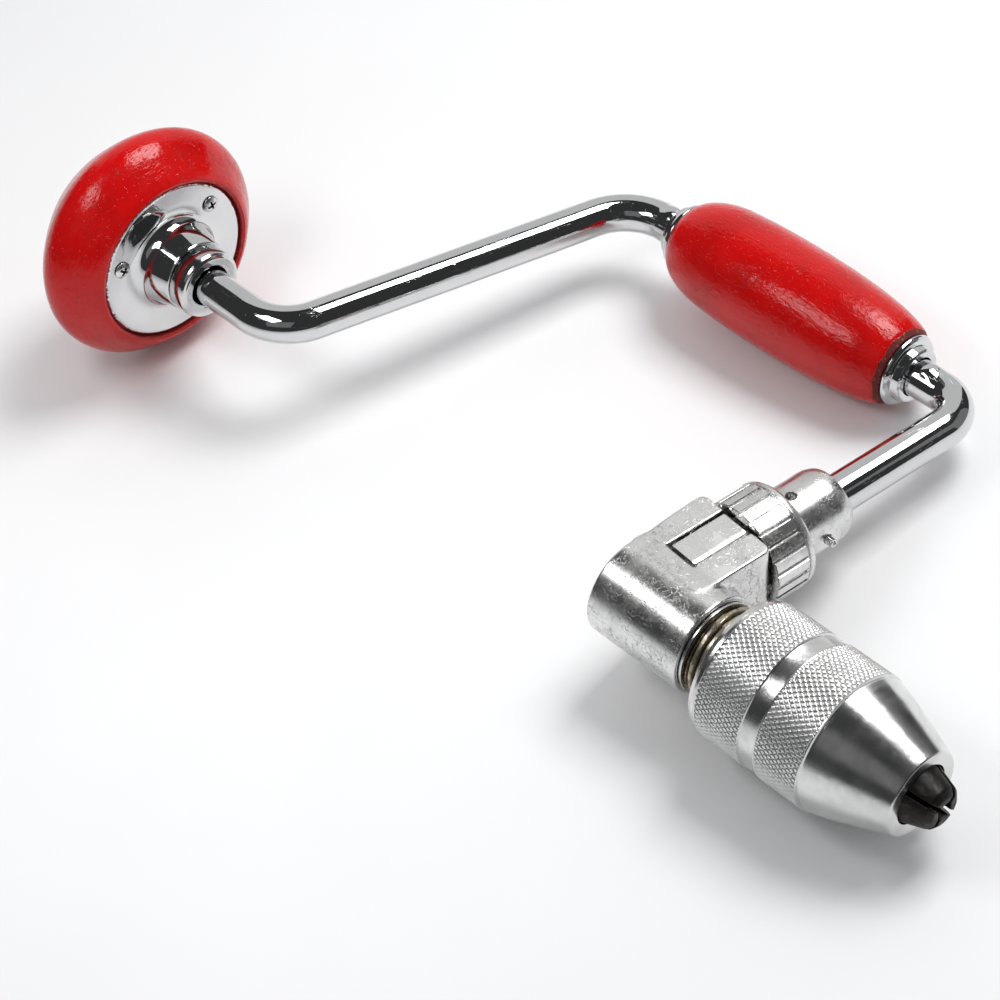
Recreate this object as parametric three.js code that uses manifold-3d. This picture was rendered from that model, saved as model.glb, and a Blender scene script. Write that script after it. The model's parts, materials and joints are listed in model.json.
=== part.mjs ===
// Carpenter's ratchet bit brace, lying on a table. Units: mm, +Z up.
// Every piece is made in the brace's own frame and the whole tool is then laid down:
//   x  along the straight line from the head to the nose of the chuck, 0 at the head plate
//   y  from that line towards the sweep grip
//   z  square to the plane of the crank
// The arm frame (selector ring, collar, pawls) has y along the lower arm, 0 on the chuck line.
import * as THREE from 'three';
import { mergeVertices } from 'three/addons/utils/BufferGeometryUtils.js';
import Module from 'manifold-3d';

const wasm = await Module();
wasm.setup();

// --- sizes ------------------------------------------------------------------------------
const GAP = 0.3;                       // clearance between neighbouring pieces
const ROUND = 28;                      // facets round a large turned piece
const SMALL_ROUND = 16;                // facets round a small turned piece
const COIL_STEPS = 8;                  // stations in one turn of a coil spring

const BAR_R = 6.35;                    // half-inch round bar
const BAR_HOLE_R = BAR_R + GAP;
const BAR_START_X = -2.6;              // end of the bar inside the head
const BEND_HEAD = [53, 0];             // corners of the crank before rounding
const BEND_UPPER = [89, 126.4];
const BEND_LOWER = [235, 126.4];
const ARM_FOOT = [223.6, 0];           // where the lower arm meets the chuck line
const BEND_RADII = [18, 20.5, 11.8];   // centreline radii of the three bends
const BAR_END_S = 14.9;                // end of the bar inside the ratchet body
const LUG_XS = [106.4, 217.6];         // swaged lugs either side of the sweep grip
const LUG_R = 2.3;

const SCREW_CIRCLE_R = 22;             // head screws
const SCREW_ANGLES = [38.6, 158.6, 278.6];
const SCREW_HEAD_R = 3.1;
const SCREW_SHANK_R = 1.5;
const SCREW_TIP_X = -13;
const BALL_COUNT = 10;
const BALL_R = 1.45;
const BALL_CIRCLE_R = 7;
const BALL_X = -4.7;

const GRIP_Y = BEND_UPPER[1];
const FERRULE_BORE_R = 6.75;

const BARREL_REAR_X = 210.6;           // ratchet body
const BARREL_FRONT_X = 245.7;
const BARREL_R = 16.2;
const WHEEL_ROOM_R = 13.9;
const WHEEL_ROOM_FRONT_X = 235.5;
const BEARING_R = 10.1;
const BLOCK_HALF_X = 15;
const BLOCK_HALF_Z = 15.2;
const BLOCK_END_S = 30.3;
const BOSS_R = 11;
const BOSS_FLAT_Z = 9.1;
const BOSS_END_S = 43.6;
const SLOT_HALF_X = 6.1;
const SLOT_START_S = 8.1;
const SLOT_FLOOR_Z = 8.6;

const PAWL_HALF_X = 5.7;
const PAWL_PIVOT = [19, 11.9];         // [along the arm, height] of the pawl pin
const PAWL_PIN_R = 1.4;
const PAWL_PIN_HALF = 10;
const PAWL_LIFT = 7;                   // degrees; the lower pawl is lifted in this position

const RIB_COUNT = 24;                  // selector ring
const RIB_R = 17.3;
const FLUTE_R = 16.2;
const RING_START_S = 31.2;
const RING_END_S = 47;

const COLLAR_START_S = 47.4;
const COLLAR_END_S = 67.4;
const COLLAR_R = 11.85;
const DRILLING_S = 53.2;
const ROLL_PIN_S = 55.6;
const DETENT_CIRCLE_R = 9.2;

const TOOTH_COUNT = 14;                // ratchet wheel
const WHEEL_TIP_R = 12.9;
const WHEEL_ROOT_R = 11.5;
const WHEEL_REAR_X = 218;
const WHEEL_LENGTH = 12;
const WHEEL_SEAT_R = 8.4;

const THREAD_START_X = 247.8;          // chuck spindle
const THREAD_PITCH = 2.5;
const THREAD_CREST_R = 14.8;
const THREAD_ROOT_R = 13.5;
const THREAD_RIDGES = 6;
const SPINDLE_FRONT_X = 288.1;
const SOCKET_HALF = 3.5;
const SOCKET_REAR_X = 276;
const GUIDE_SLOT_HALF = 2.3;
const GUIDE_SLOT_X = 284.2;

const SHELL_REAR_X = 255.6;            // chuck shell
const NOSE_X = 322.6;
const SHELL_BORE_R = 15.2;
const SHELL_ROOM_R = 18.4;
const SHELL_R = 22.4;
const JAW_CONE_SLOPE = 0.325;          // radius lost per mm along the jaws' backs
const JAW_NOSE_R = 9.9;
const JAW_BACK_R = 15.2;
const JAW_REAR_X = 288.4;
const JAW_TIP_X = 330.8;
const JAW_HALF_GAP = 0.7;
const JAW_OPENING = 2.6;               // from the axis to each gripping edge

const REST_TILT = [3.328, -5.011];        // degrees about y, then about x, to lie on three points

// --- materials --------------------------------------------------------------------------
const RED_LACQUER = { color: 0xc1140f, roughness: 0.22, metalness: 0 };
const CHROME = { color: 0xdcdcda, roughness: 0.1, metalness: 1 };
const CAST_CHROME = { color: 0xc9c9c4, roughness: 0.32, metalness: 1 };
const BRIGHT_STEEL = { color: 0xcfcfcc, roughness: 0.25, metalness: 1 };
const OILED_STEEL = { color: 0x8d8060, roughness: 0.42, metalness: 1 };
const BLACK_STEEL = { color: 0x23211f, roughness: 0.5, metalness: 0.6 };

// --- frames -----------------------------------------------------------------------------
const rad = THREE.MathUtils.degToRad;
const armDirection = new THREE.Vector2(...BEND_LOWER).sub(new THREE.Vector2(...ARM_FOOT)).normalize();
const ARM_FRAME = new THREE.Matrix4()
  .makeRotationZ(-Math.atan2(armDirection.x, armDirection.y))
  .setPosition(ARM_FOOT[0], ARM_FOOT[1], 0);

// --- solids -----------------------------------------------------------------------------
function solid(geometry) {
  const bare = geometry.index ? geometry.toNonIndexed() : geometry.clone();
  bare.deleteAttribute('normal');
  bare.deleteAttribute('uv');
  const merged = mergeVertices(bare, 1e-4);
  const corners = Array.from(merged.index.array);
  const kept = [];
  for (let i = 0; i < corners.length; i += 3) {
    const [a, b, c] = corners.slice(i, i + 3);
    if (a !== b && b !== c && c !== a) kept.push(a, b, c);
  }
  const make = (triangles) => new wasm.Manifold(new wasm.Mesh({
    numProp: 3,
    vertProperties: Float32Array.from(merged.attributes.position.array),
    triVerts: Uint32Array.from(triangles),
  }));
  const body = make(kept);
  if (body.volume() > 0) return body;
  const flipped = [];
  for (let i = 0; i < kept.length; i += 3) flipped.push(kept[i], kept[i + 2], kept[i + 1]);
  return make(flipped);
}

const cut = (body, ...tools) => tools.reduce((left, tool) => left.subtract(tool), body);
const join = (body, ...others) => others.reduce((left, other) => left.add(other), body);

// A profile of [along, radius] points turned about the frame's y axis.
function turnedOnY(profile, facets, frame = new THREE.Matrix4()) {
  const points = profile.map(([along, radius]) => new THREE.Vector2(radius, along));
  return solid(new THREE.LatheGeometry(points, facets).applyMatrix4(frame));
}

const AXIS_ALONG_X = new THREE.Matrix4().makeRotationZ(-Math.PI / 2);
const turned = (profile, facets = ROUND) => turnedOnY(profile, facets, AXIS_ALONG_X);
const turnedOnArm = (profile, facets = ROUND) => turnedOnY(profile, facets, ARM_FRAME);

function ring(profile) {
  return [...profile, profile[0]];
}

// A plain rod between two stations of one of the turned axes.
const rodProfile = (start, end, radius) => [[start, 0], [start, radius], [end, radius], [end, 0]];

function box(from, to, frame = new THREE.Matrix4()) {
  const size = to.map((value, i) => value - from[i]);
  const middle = to.map((value, i) => (value + from[i]) / 2);
  return solid(new THREE.BoxGeometry(...size).translate(...middle).applyMatrix4(frame));
}

// A rod through `centre`, pointing along the frame's x, y or z.
function rod(centre, axis, radius, length, frame = new THREE.Matrix4(), facets = 16) {
  const geometry = new THREE.CylinderGeometry(radius, radius, length, facets);
  if (axis === 'x') geometry.rotateZ(Math.PI / 2);
  if (axis === 'z') geometry.rotateX(Math.PI / 2);
  return solid(geometry.translate(...centre).applyMatrix4(frame));
}

// An outline in the frame's (y, z) plane, given thickness along x on both sides of 0.
function slab(outline, halfThickness, frame) {
  const shape = new THREE.Shape(outline.map(([y, z]) => new THREE.Vector2(y, z)));
  const geometry = new THREE.ExtrudeGeometry(shape, { depth: 2 * halfThickness, bevelEnabled: false });
  geometry.translate(0, 0, -halfThickness);
  const turn = new THREE.Matrix4().makeBasis(
    new THREE.Vector3(0, 1, 0), new THREE.Vector3(0, 0, 1), new THREE.Vector3(1, 0, 0));
  return solid(geometry.applyMatrix4(turn).applyMatrix4(frame));
}

// An outline in the (y, z) plane pushed along x from one station to another.
function prismOnX(outline, start, end) {
  const shape = new THREE.Shape(outline.map(([y, z]) => new THREE.Vector2(y, z)));
  const geometry = new THREE.ExtrudeGeometry(shape, { depth: end - start, bevelEnabled: false });
  const turn = new THREE.Matrix4().makeBasis(
    new THREE.Vector3(0, 1, 0), new THREE.Vector3(0, 0, 1), new THREE.Vector3(1, 0, 0));
  return solid(geometry.applyMatrix4(turn).translate(start, 0, 0));
}

// A rail through prepared stations, each holding a point and a direction.
class Rail extends THREE.Curve {
  constructor(stations) {
    super();
    this.stations = stations;
  }

  blend(t, key) {
    const place = t * (this.stations.length - 1);
    const index = Math.min(Math.floor(place), this.stations.length - 2);
    return this.stations[index][key].clone().lerp(this.stations[index + 1][key], place - index);
  }

  getPoint(t) {
    return this.blend(t, 'point');
  }

  getPointAt(t) {
    return this.blend(t, 'point');
  }

  getTangentAt(t) {
    return this.blend(t, 'direction').normalize();
  }
}

function wire(stations, radius, sides, frame = new THREE.Matrix4()) {
  const shape = new THREE.Shape().absarc(0, 0, radius, 0, 2 * Math.PI);
  const geometry = new THREE.ExtrudeGeometry(shape, {
    steps: stations.length - 1,
    curveSegments: sides / 2,
    extrudePath: new Rail(stations),
    bevelEnabled: false,
  });
  return solid(geometry.applyMatrix4(frame));
}

function coil(start, end, radius, turns, frame) {
  const count = turns * COIL_STEPS;
  const stations = [];
  for (let i = 0; i <= count; i += 1) {
    const angle = (2 * Math.PI * i) / COIL_STEPS;
    const along = start + ((end - start) * i) / count;
    stations.push({
      point: new THREE.Vector3(radius * Math.cos(angle), along, radius * Math.sin(angle)),
      direction: new THREE.Vector3(
        -radius * Math.sin(angle), (end - start) / (2 * Math.PI * turns), radius * Math.cos(angle)),
    });
  }
  return stations;
}

// --- the tool ---------------------------------------------------------------------------
const tool = new THREE.Group();
tool.name = 'bit_brace';

function add(name, body, look) {
  const mesh = body.getMesh();
  const geometry = new THREE.BufferGeometry();
  geometry.setAttribute('position', new THREE.BufferAttribute(Float32Array.from(mesh.vertProperties), 3));
  geometry.setIndex(Array.from(mesh.triVerts));
  geometry.computeVertexNormals();
  const part = new THREE.Mesh(geometry, new THREE.MeshStandardMaterial(look));
  part.name = name;
  tool.add(part);
}

// Head: wooden knob, plate with neck, ball thrust bearing.
const screwPlaces = SCREW_ANGLES.map((angle) => [
  SCREW_CIRCLE_R * Math.cos(rad(angle)),
  SCREW_CIRCLE_R * Math.sin(rad(angle)),
]);

const knob = turned([
  [-44.2, 0], [-43.8, 6], [-42.6, 11.5], [-40.6, 16.6], [-37.6, 21.4], [-33.3, 26.4], [-28.5, 31.3],
  [-23.5, 35.8], [-19.5, 38.9], [-15.6, 40.7], [-11.5, 40.3], [-7.6, 38.2], [-3.9, 35], [-1, 32.3],
  [0.3, 30.6], [0.9, 29.4], [0.4, 28.4], [-1.7, 28.4], [-1.7, 10.4], [-9.4, 10.4], [-9.4, 0],
]);
const screwHoles = screwPlaces.map(([y, z]) => rod([-8, y, z], 'x', SCREW_SHANK_R + GAP, 13));
add('head_wood', cut(knob, ...screwHoles), RED_LACQUER);

const plate = turned(ring([
  [-1.4, 10.7], [-1.4, 27.6], [-0.4, 27.9], [0, 27.4], [0, 18.6], [0.6, 16.4], [2, 14.9], [6, 13.2],
  [12, 12.1], [12, 7.2], [10.2, 7.2], [10.2, 10.4], [-1.1, 10.4],
]));
const plateHoles = screwPlaces.map(([y, z]) => rod([-0.5, y, z], 'x', SCREW_SHANK_R + GAP, 5));
add('head_plate', cut(plate, ...plateHoles), CHROME);
add('head_neck_ring', turned(ring([
  [12.3, 7.2], [12.3, 11.3], [12.9, 11.8], [17.2, 11.7], [17.5, 11.1], [18.9, 11], [19.6, 10.3], [19.6, 7.2],
])), CHROME);

screwPlaces.forEach(([y, z], i) => {
  const screw = turned([
    [SCREW_TIP_X, 0], [SCREW_TIP_X, 0.6], [SCREW_TIP_X + 3, SCREW_SHANK_R], [0.3, SCREW_SHANK_R],
    [0.3, SCREW_HEAD_R], [1, SCREW_HEAD_R * 0.85], [1.5, SCREW_HEAD_R * 0.5], [1.65, 0],
  ], 16);
  const slots = [
    box([0.7, -1.9, -0.4], [3, 1.9, 0.4]),
    box([0.7, -0.4, -1.9], [3, 0.4, 1.9]),
  ];
  add(`head_screw_${i + 1}`, cut(screw, ...slots).translate([0, y, z]), BRIGHT_STEEL);
});

add('head_race_rear', turned([[-9.1, 0], [-9.1, 9.9], [-6.5, 9.9], [-6.5, 0]], SMALL_ROUND), BRIGHT_STEEL);
const cage = turned(ring([[-5.5, 4.8], [-5.5, 9.2], [-3.9, 9.2], [-3.9, 4.8]]), SMALL_ROUND);
const balls = [];
for (let i = 0; i < BALL_COUNT; i += 1) {
  const angle = (2 * Math.PI * i) / BALL_COUNT;
  const ball = new THREE.IcosahedronGeometry(BALL_R, 1);
  ball.translate(BALL_X, BALL_CIRCLE_R * Math.cos(angle), BALL_CIRCLE_R * Math.sin(angle));
  balls.push(solid(ball));
}
add('head_ball_cage', join(cage, ...balls), BRIGHT_STEEL);
add('head_race_front', turned(ring([
  [-2.9, BAR_HOLE_R], [-2.9, 9.9], [0.4, 9.9], [0.4, BAR_HOLE_R],
]), SMALL_ROUND), BRIGHT_STEEL);
add('head_retaining_ring', turned(ring([
  [7.2, BAR_HOLE_R], [7.2, 9.9], [9.6, 9.9], [9.6, BAR_HOLE_R],
]), SMALL_ROUND), BRIGHT_STEEL);

// Crank: one bent bar with swaged lugs and a cross hole for the collar's pin.
function crankStations() {
  const armEnd = new THREE.Vector2(...ARM_FOOT).addScaledVector(armDirection, BAR_END_S);
  const corners = [[BAR_START_X, 0], BEND_HEAD, BEND_UPPER, BEND_LOWER, [armEnd.x, armEnd.y]]
    .map(([x, y]) => new THREE.Vector3(x, y, 0));
  const direction = (from, to) => to.clone().sub(from).normalize();
  const stations = [{ point: corners[0], direction: direction(corners[0], corners[1]) }];
  BEND_RADII.forEach((radius, i) => {
    const inward = direction(corners[i], corners[i + 1]);
    const outward = direction(corners[i + 1], corners[i + 2]);
    const turn = inward.angleTo(outward);
    const side = Math.sign(inward.x * outward.y - inward.y * outward.x);
    const start = corners[i + 1].clone().addScaledVector(inward, -radius * Math.tan(turn / 2));
    const toCentre = new THREE.Vector3(-inward.y, inward.x, 0).multiplyScalar(side * radius);
    const centre = start.clone().add(toCentre);
    const steps = Math.ceil(turn / rad(11));
    for (let j = 0; j <= steps; j += 1) {
      const angle = (side * turn * j) / steps;
      const arm = toCentre.clone().negate().applyAxisAngle(new THREE.Vector3(0, 0, 1), angle);
      stations.push({
        point: centre.clone().add(arm),
        direction: inward.clone().applyAxisAngle(new THREE.Vector3(0, 0, 1), angle),
      });
    }
  });
  stations.push({ point: corners[4], direction: direction(corners[3], corners[4]) });
  return stations;
}

const lugs = LUG_XS.flatMap((x) => [-1, 1].map((side) => {
  const lug = new THREE.IcosahedronGeometry(LUG_R, 1);
  return solid(lug.translate(x, GRIP_Y, side * (BAR_R - 0.6)));
}));
const crossHole = rod([0, ROLL_PIN_S, 0], 'x', 1.7, 30, ARM_FRAME);
add('crank_bar', cut(join(wire(crankStations(), BAR_R, 16), ...lugs), crossHole), CHROME);

// Sweep grip: lacquered wood with a ferrule pressed in each end.
const onGrip = (body) => body.translate([0, GRIP_Y, 0]);
add('grip_wood', onGrip(turned(ring([
  [114.6, 9], [114.6, 11.2], [115.6, 12.4], [118.4, 14.5], [123, 16.4], [129, 17.7], [138, 18.4], [148, 18.8],
  [158, 18.9], [167, 18.8], [177, 18.4], [187, 17.6], [196, 16.4], [202, 15], [205.4, 13.7], [207.5, 12.3],
  [207.5, 9], [198.6, 9], [198.6, 7], [122.4, 7], [122.4, 9],
]))), RED_LACQUER);
add('grip_ferrule_upper', onGrip(turned(ring([
  [109.8, FERRULE_BORE_R], [109.8, 8.4], [110.4, 9], [112.4, 9], [112.4, 10.4], [113.2, 11], [114.3, 11],
  [114.3, 8.7], [122, 8.7], [122, FERRULE_BORE_R],
]))), CHROME);
add('grip_ferrule_lower', onGrip(turned(ring([
  [199, FERRULE_BORE_R], [199, 8.7], [207.8, 8.7], [207.8, 12.1], [208.8, 12.2], [209.7, 11.4], [209.9, 9.6],
  [212.4, 9.4], [213, 8.8], [213, FERRULE_BORE_R],
]))), CHROME);

// Collar fixed to the lower arm, with its roll pin and the selector's detent.
const collar = turnedOnArm(ring([
  [COLLAR_START_S, BAR_HOLE_R], [COLLAR_START_S, COLLAR_R], [COLLAR_END_S - 3, COLLAR_R],
  [COLLAR_END_S - 1, COLLAR_R - 0.8], [COLLAR_END_S, COLLAR_R - 2.6], [COLLAR_END_S, BAR_HOLE_R],
]));
const drilling = rod([0, DRILLING_S, 10], 'z', 1.6, 9, ARM_FRAME);
const pinHole = rod([0, ROLL_PIN_S, 0], 'x', 1.7, 40, ARM_FRAME);
const detentHole = rod([-DETENT_CIRCLE_R, COLLAR_START_S + 2.5, 0], 'y', 1.6, 7, ARM_FRAME);
add('arm_collar', cut(collar, drilling, pinHole, detentHole), CAST_CHROME);
add('collar_pin', rod([1.4, ROLL_PIN_S, 0], 'x', 1.4, 26.4, ARM_FRAME), BRIGHT_STEEL);
const detentBall = new THREE.IcosahedronGeometry(1.25, 1);
detentBall.translate(-DETENT_CIRCLE_R, COLLAR_START_S + 1.1, 0).applyMatrix4(ARM_FRAME);
add('detent_ball', solid(detentBall), BRIGHT_STEEL);
const detentFrame = ARM_FRAME.clone().multiply(new THREE.Matrix4().makeTranslation(-DETENT_CIRCLE_R, 0, 0));
const detentCoil = coil(COLLAR_START_S + 3, COLLAR_START_S + 5.3, 0.95, 3);
add('detent_spring', wire(detentCoil, 0.25, 4, detentFrame), BRIGHT_STEEL);

// Selector ring: a fluted cup round the body's boss.
function flutedOutline() {
  const outline = [];
  const step = (2 * Math.PI) / RIB_COUNT;
  for (let i = 0; i < RIB_COUNT; i += 1) {
    [[-0.3, RIB_R], [0.1, RIB_R], [0.24, FLUTE_R], [0.56, FLUTE_R]].forEach(([part, radius]) => {
      const angle = (i + part) * step;
      outline.push(new THREE.Vector2(radius * Math.cos(angle), radius * Math.sin(angle)));
    });
  }
  return outline;
}

const flutedBar = new THREE.ExtrudeGeometry(new THREE.Shape(flutedOutline()), {
  depth: 13.6, bevelEnabled: false,
});
flutedBar.rotateX(-Math.PI / 2).translate(0, RING_START_S, 0).applyMatrix4(ARM_FRAME);
const ringEnvelope = turnedOnArm([
  [RING_START_S, 0], [RING_START_S, 16.9], [RING_START_S + 0.6, 17.5], [42.2, 17.5], [44.6, 16.3], [44.6, 0],
]);
const ringLip = turnedOnArm([
  [44, 0], [44, 15.4], [44.8, 16.2], [46.6, 16.2], [RING_END_S, 15.7], [RING_END_S, 0],
]);
const ringInside = turnedOnArm([
  [RING_START_S - 1, 0], [RING_START_S - 1, 14.6], [42, 14.6], [42, BOSS_R + GAP], [44, BOSS_R + GAP],
  [44, BAR_HOLE_R + 0.1], [RING_END_S + 1, BAR_HOLE_R + 0.1], [RING_END_S + 1, 0],
]);
const cup = join(solid(flutedBar).intersect(ringEnvelope), ringLip);
add('selector_ring', cut(cup, ringInside), CAST_CHROME);

// Ratchet body: a barrel on the chuck line joined to a block and boss on the arm.
const barrel = turned([
  [BARREL_REAR_X, 0], [BARREL_REAR_X, BARREL_R - 0.6], [BARREL_REAR_X + 0.6, BARREL_R],
  [BARREL_FRONT_X - 0.4, BARREL_R], [BARREL_FRONT_X, BARREL_R - 0.4], [BARREL_FRONT_X, 0],
]);
const block = box(
  [-BLOCK_HALF_X, 2, -BLOCK_HALF_Z], [BLOCK_HALF_X, BLOCK_END_S, BLOCK_HALF_Z], ARM_FRAME);
const ahead = box([BARREL_REAR_X, -40, -40], [BARREL_FRONT_X, 80, 40]);
const boss = cut(
  turnedOnArm(rodProfile(BLOCK_END_S - 2, BOSS_END_S, BOSS_R)),
  box([-BOSS_R, BLOCK_END_S + 0.3, BOSS_FLAT_Z], [BOSS_R, 60, 20], ARM_FRAME),
  box([-BOSS_R, BLOCK_END_S + 0.3, -20], [BOSS_R, 60, -BOSS_FLAT_Z], ARM_FRAME));
const wheelRoom = turned(rodProfile(BARREL_REAR_X - 1, WHEEL_ROOM_FRONT_X, WHEEL_ROOM_R));
const bearing = turned(rodProfile(WHEEL_ROOM_FRONT_X - 1, BARREL_FRONT_X + 1, BEARING_R));
const armSocket = turnedOnArm(rodProfile(10, BOSS_END_S + 1, BAR_HOLE_R), SMALL_ROUND);
const pawlRooms = [1, -1].flatMap((side) => {
  const [low, high] = [side * SLOT_FLOOR_Z, side * 20].sort((a, b) => a - b);
  return [
    box([-SLOT_HALF_X, SLOT_START_S, low], [SLOT_HALF_X, BLOCK_END_S + 1, high], ARM_FRAME),
    rod([0, PAWL_PIVOT[0], side * PAWL_PIVOT[1]], 'x', PAWL_PIN_R + GAP, 2 * PAWL_PIN_HALF + 0.6, ARM_FRAME),
  ];
});
const casting = join(block.intersect(ahead), barrel, boss);
add('ratchet_body', cut(casting, wheelRoom, bearing, armSocket, ...pawlRooms), CAST_CHROME);
add('rear_cap', turned(ring([
  [211, 5.2], [211, 13.3], [211.3, 13.6], [212.8, 13.6], [212.8, 5.2],
])), CAST_CHROME);

// Pawls: one above and one below, tipped on their pins by the selector ring.
const PAWL_OUTLINE = [
  [8.6, 14.9], [8.6, 10.3], [9.4, 9.5], [12.6, 11.2], [15.6, 9.6], [22.2, 9.6], [24, 11.4], [30.6, 12],
  [35.6, 12.1], [35.6, 13.7], [30.6, 13.9], [29.9, 14.9],
];
const MIRRORED = new THREE.Matrix4().makeScale(1, 1, -1);

function pawlFrame(side, lift) {
  const frame = ARM_FRAME.clone();
  if (side < 0) frame.multiply(MIRRORED);
  const [along, height] = PAWL_PIVOT;
  return frame
    .multiply(new THREE.Matrix4().makeTranslation(0, along, height))
    .multiply(new THREE.Matrix4().makeRotationX(rad(-lift)))
    .multiply(new THREE.Matrix4().makeTranslation(0, -along, -height));
}

[['top', 1, 0], ['bottom', -1, PAWL_LIFT]].forEach(([place, side, lift]) => {
  const frame = pawlFrame(side, lift);
  const pivot = [0, PAWL_PIVOT[0], PAWL_PIVOT[1]];
  const blank = cut(
    slab(PAWL_OUTLINE, PAWL_HALF_X, frame),
    rod(pivot, 'x', PAWL_PIN_R + GAP, 20, frame),
    box([2.6, 30.3, 5], [8, 40, 20], frame),
    box([-8, 30.3, 5], [-2.6, 40, 20], frame));
  add(`pawl_${place}`, blank, CAST_CHROME);
  add(`pawl_pin_${place}`,
    rod([0, PAWL_PIVOT[0], side * PAWL_PIVOT[1]], 'x', PAWL_PIN_R, 2 * PAWL_PIN_HALF, ARM_FRAME), BRIGHT_STEEL);
  const leaf = slab([
    [28.6, 8.9], [24.2, 8.9], [24.2, 9.3], [28, 10], [28.1, 9.6], [25.8, 9.25], [28.6, 9.25],
  ], 2.4, side > 0 ? ARM_FRAME : ARM_FRAME.clone().multiply(MIRRORED));
  add(`pawl_spring_${place}`, leaf, BRIGHT_STEEL);
});

// Chuck spindle with the ratchet wheel, its end screw and thrust washer.
const threadProfile = [];
for (let i = 0; i < THREAD_RIDGES; i += 1) {
  const start = THREAD_START_X + i * THREAD_PITCH;
  threadProfile.push(
    [start, THREAD_ROOT_R], [start + 0.7, THREAD_CREST_R],
    [start + 1.5, THREAD_CREST_R], [start + 2.2, THREAD_ROOT_R]);
}
const spindle = turned([
  [210.9, 0], [210.9, 4.9], [213.2, 4.9], [213.2, WHEEL_SEAT_R], [234.8, WHEEL_SEAT_R],
  [234.8, BEARING_R - GAP], [247.2, BEARING_R - GAP], [247.2, THREAD_ROOT_R], ...threadProfile,
  [263.5, THREAD_CREST_R], [287.6, THREAD_CREST_R], [SPINDLE_FRONT_X, 14.3], [SPINDLE_FRONT_X, 0],
], 24);
const socket = box([SOCKET_REAR_X, -SOCKET_HALF, -SOCKET_HALF], [300, SOCKET_HALF, SOCKET_HALF]);
const quarterTurns = [0, 1, 2, 3].map((i) => new THREE.Matrix4().makeRotationX((i * Math.PI) / 2));
const guideSlots = quarterTurns.map((turn) => box(
  [GUIDE_SLOT_X, -GUIDE_SLOT_HALF, 0], [300, GUIDE_SLOT_HALF, 20], turn));
const screwSocket = rod([215, 0, 0], 'x', 2.5, 14);
add('chuck_spindle', cut(spindle, socket, ...guideSlots, screwSocket), OILED_STEEL);
add('spindle_screw', turned([
  [208.9, 0], [208.9, 5.4], [209.4, 6.8], [210.6, 6.8], [210.6, 2.2], [221.4, 2.2], [221.4, 0],
], SMALL_ROUND), BRIGHT_STEEL);
add('thrust_washer', turned(ring([
  [246, BEARING_R], [246, 14.8], [246.9, 14.8], [246.9, BEARING_R],
])), BRIGHT_STEEL);

const teeth = [];
for (let i = 0; i < TOOTH_COUNT; i += 1) {
  [[0, WHEEL_TIP_R], [0.25, WHEEL_TIP_R], [0.5, WHEEL_ROOT_R], [0.75, WHEEL_ROOT_R]].forEach(([part, radius]) => {
    const angle = ((i + part) * 2 * Math.PI) / TOOTH_COUNT;
    teeth.push([radius * Math.cos(angle), radius * Math.sin(angle)]);
  });
}
add('ratchet_wheel', cut(
  prismOnX(teeth, WHEEL_REAR_X, WHEEL_REAR_X + WHEEL_LENGTH),
  turned(rodProfile(WHEEL_REAR_X - 1, WHEEL_REAR_X + WHEEL_LENGTH + 1, WHEEL_SEAT_R + GAP)),
), OILED_STEEL);

// Shell: screws along the spindle on a guide ring and closes the jaws with its cone.
const coneRadius = (x) => JAW_NOSE_R + JAW_CONE_SLOPE * (NOSE_X - x);
const roomFront = NOSE_X - (SHELL_ROOM_R - JAW_NOSE_R - GAP) / JAW_CONE_SLOPE;
add('chuck_shell', turned(ring([
  [SHELL_REAR_X, 16.6], [SHELL_REAR_X, 20.6], [256.2, 21.8], [257.6, 22.3], [258.8, 22.3],
  [259, SHELL_R], [275.6, SHELL_R], [275.9, 22], [281.2, 22], [281.4, SHELL_R + 0.1],
  [297.4, SHELL_R + 0.1], [297.6, 22], [300.5, 21.4], [306, 19.8], [314, 16.9], [321.2, 13.9],
  [322.3, 13.3], [NOSE_X, 12.8], [NOSE_X, JAW_NOSE_R + GAP], [roomFront, SHELL_ROOM_R],
  [280.4, SHELL_ROOM_R], [280.4, SHELL_BORE_R], [268.3, SHELL_BORE_R], [268.3, SHELL_ROOM_R],
  [261.7, SHELL_ROOM_R], [261.7, SHELL_BORE_R], [257, SHELL_BORE_R],
])), BRIGHT_STEEL);
add('shell_guide_ring', turned(ring([
  [262, SHELL_BORE_R], [262, SHELL_ROOM_R - GAP], [268, SHELL_ROOM_R - GAP], [268, SHELL_BORE_R],
])), OILED_STEEL);

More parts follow.
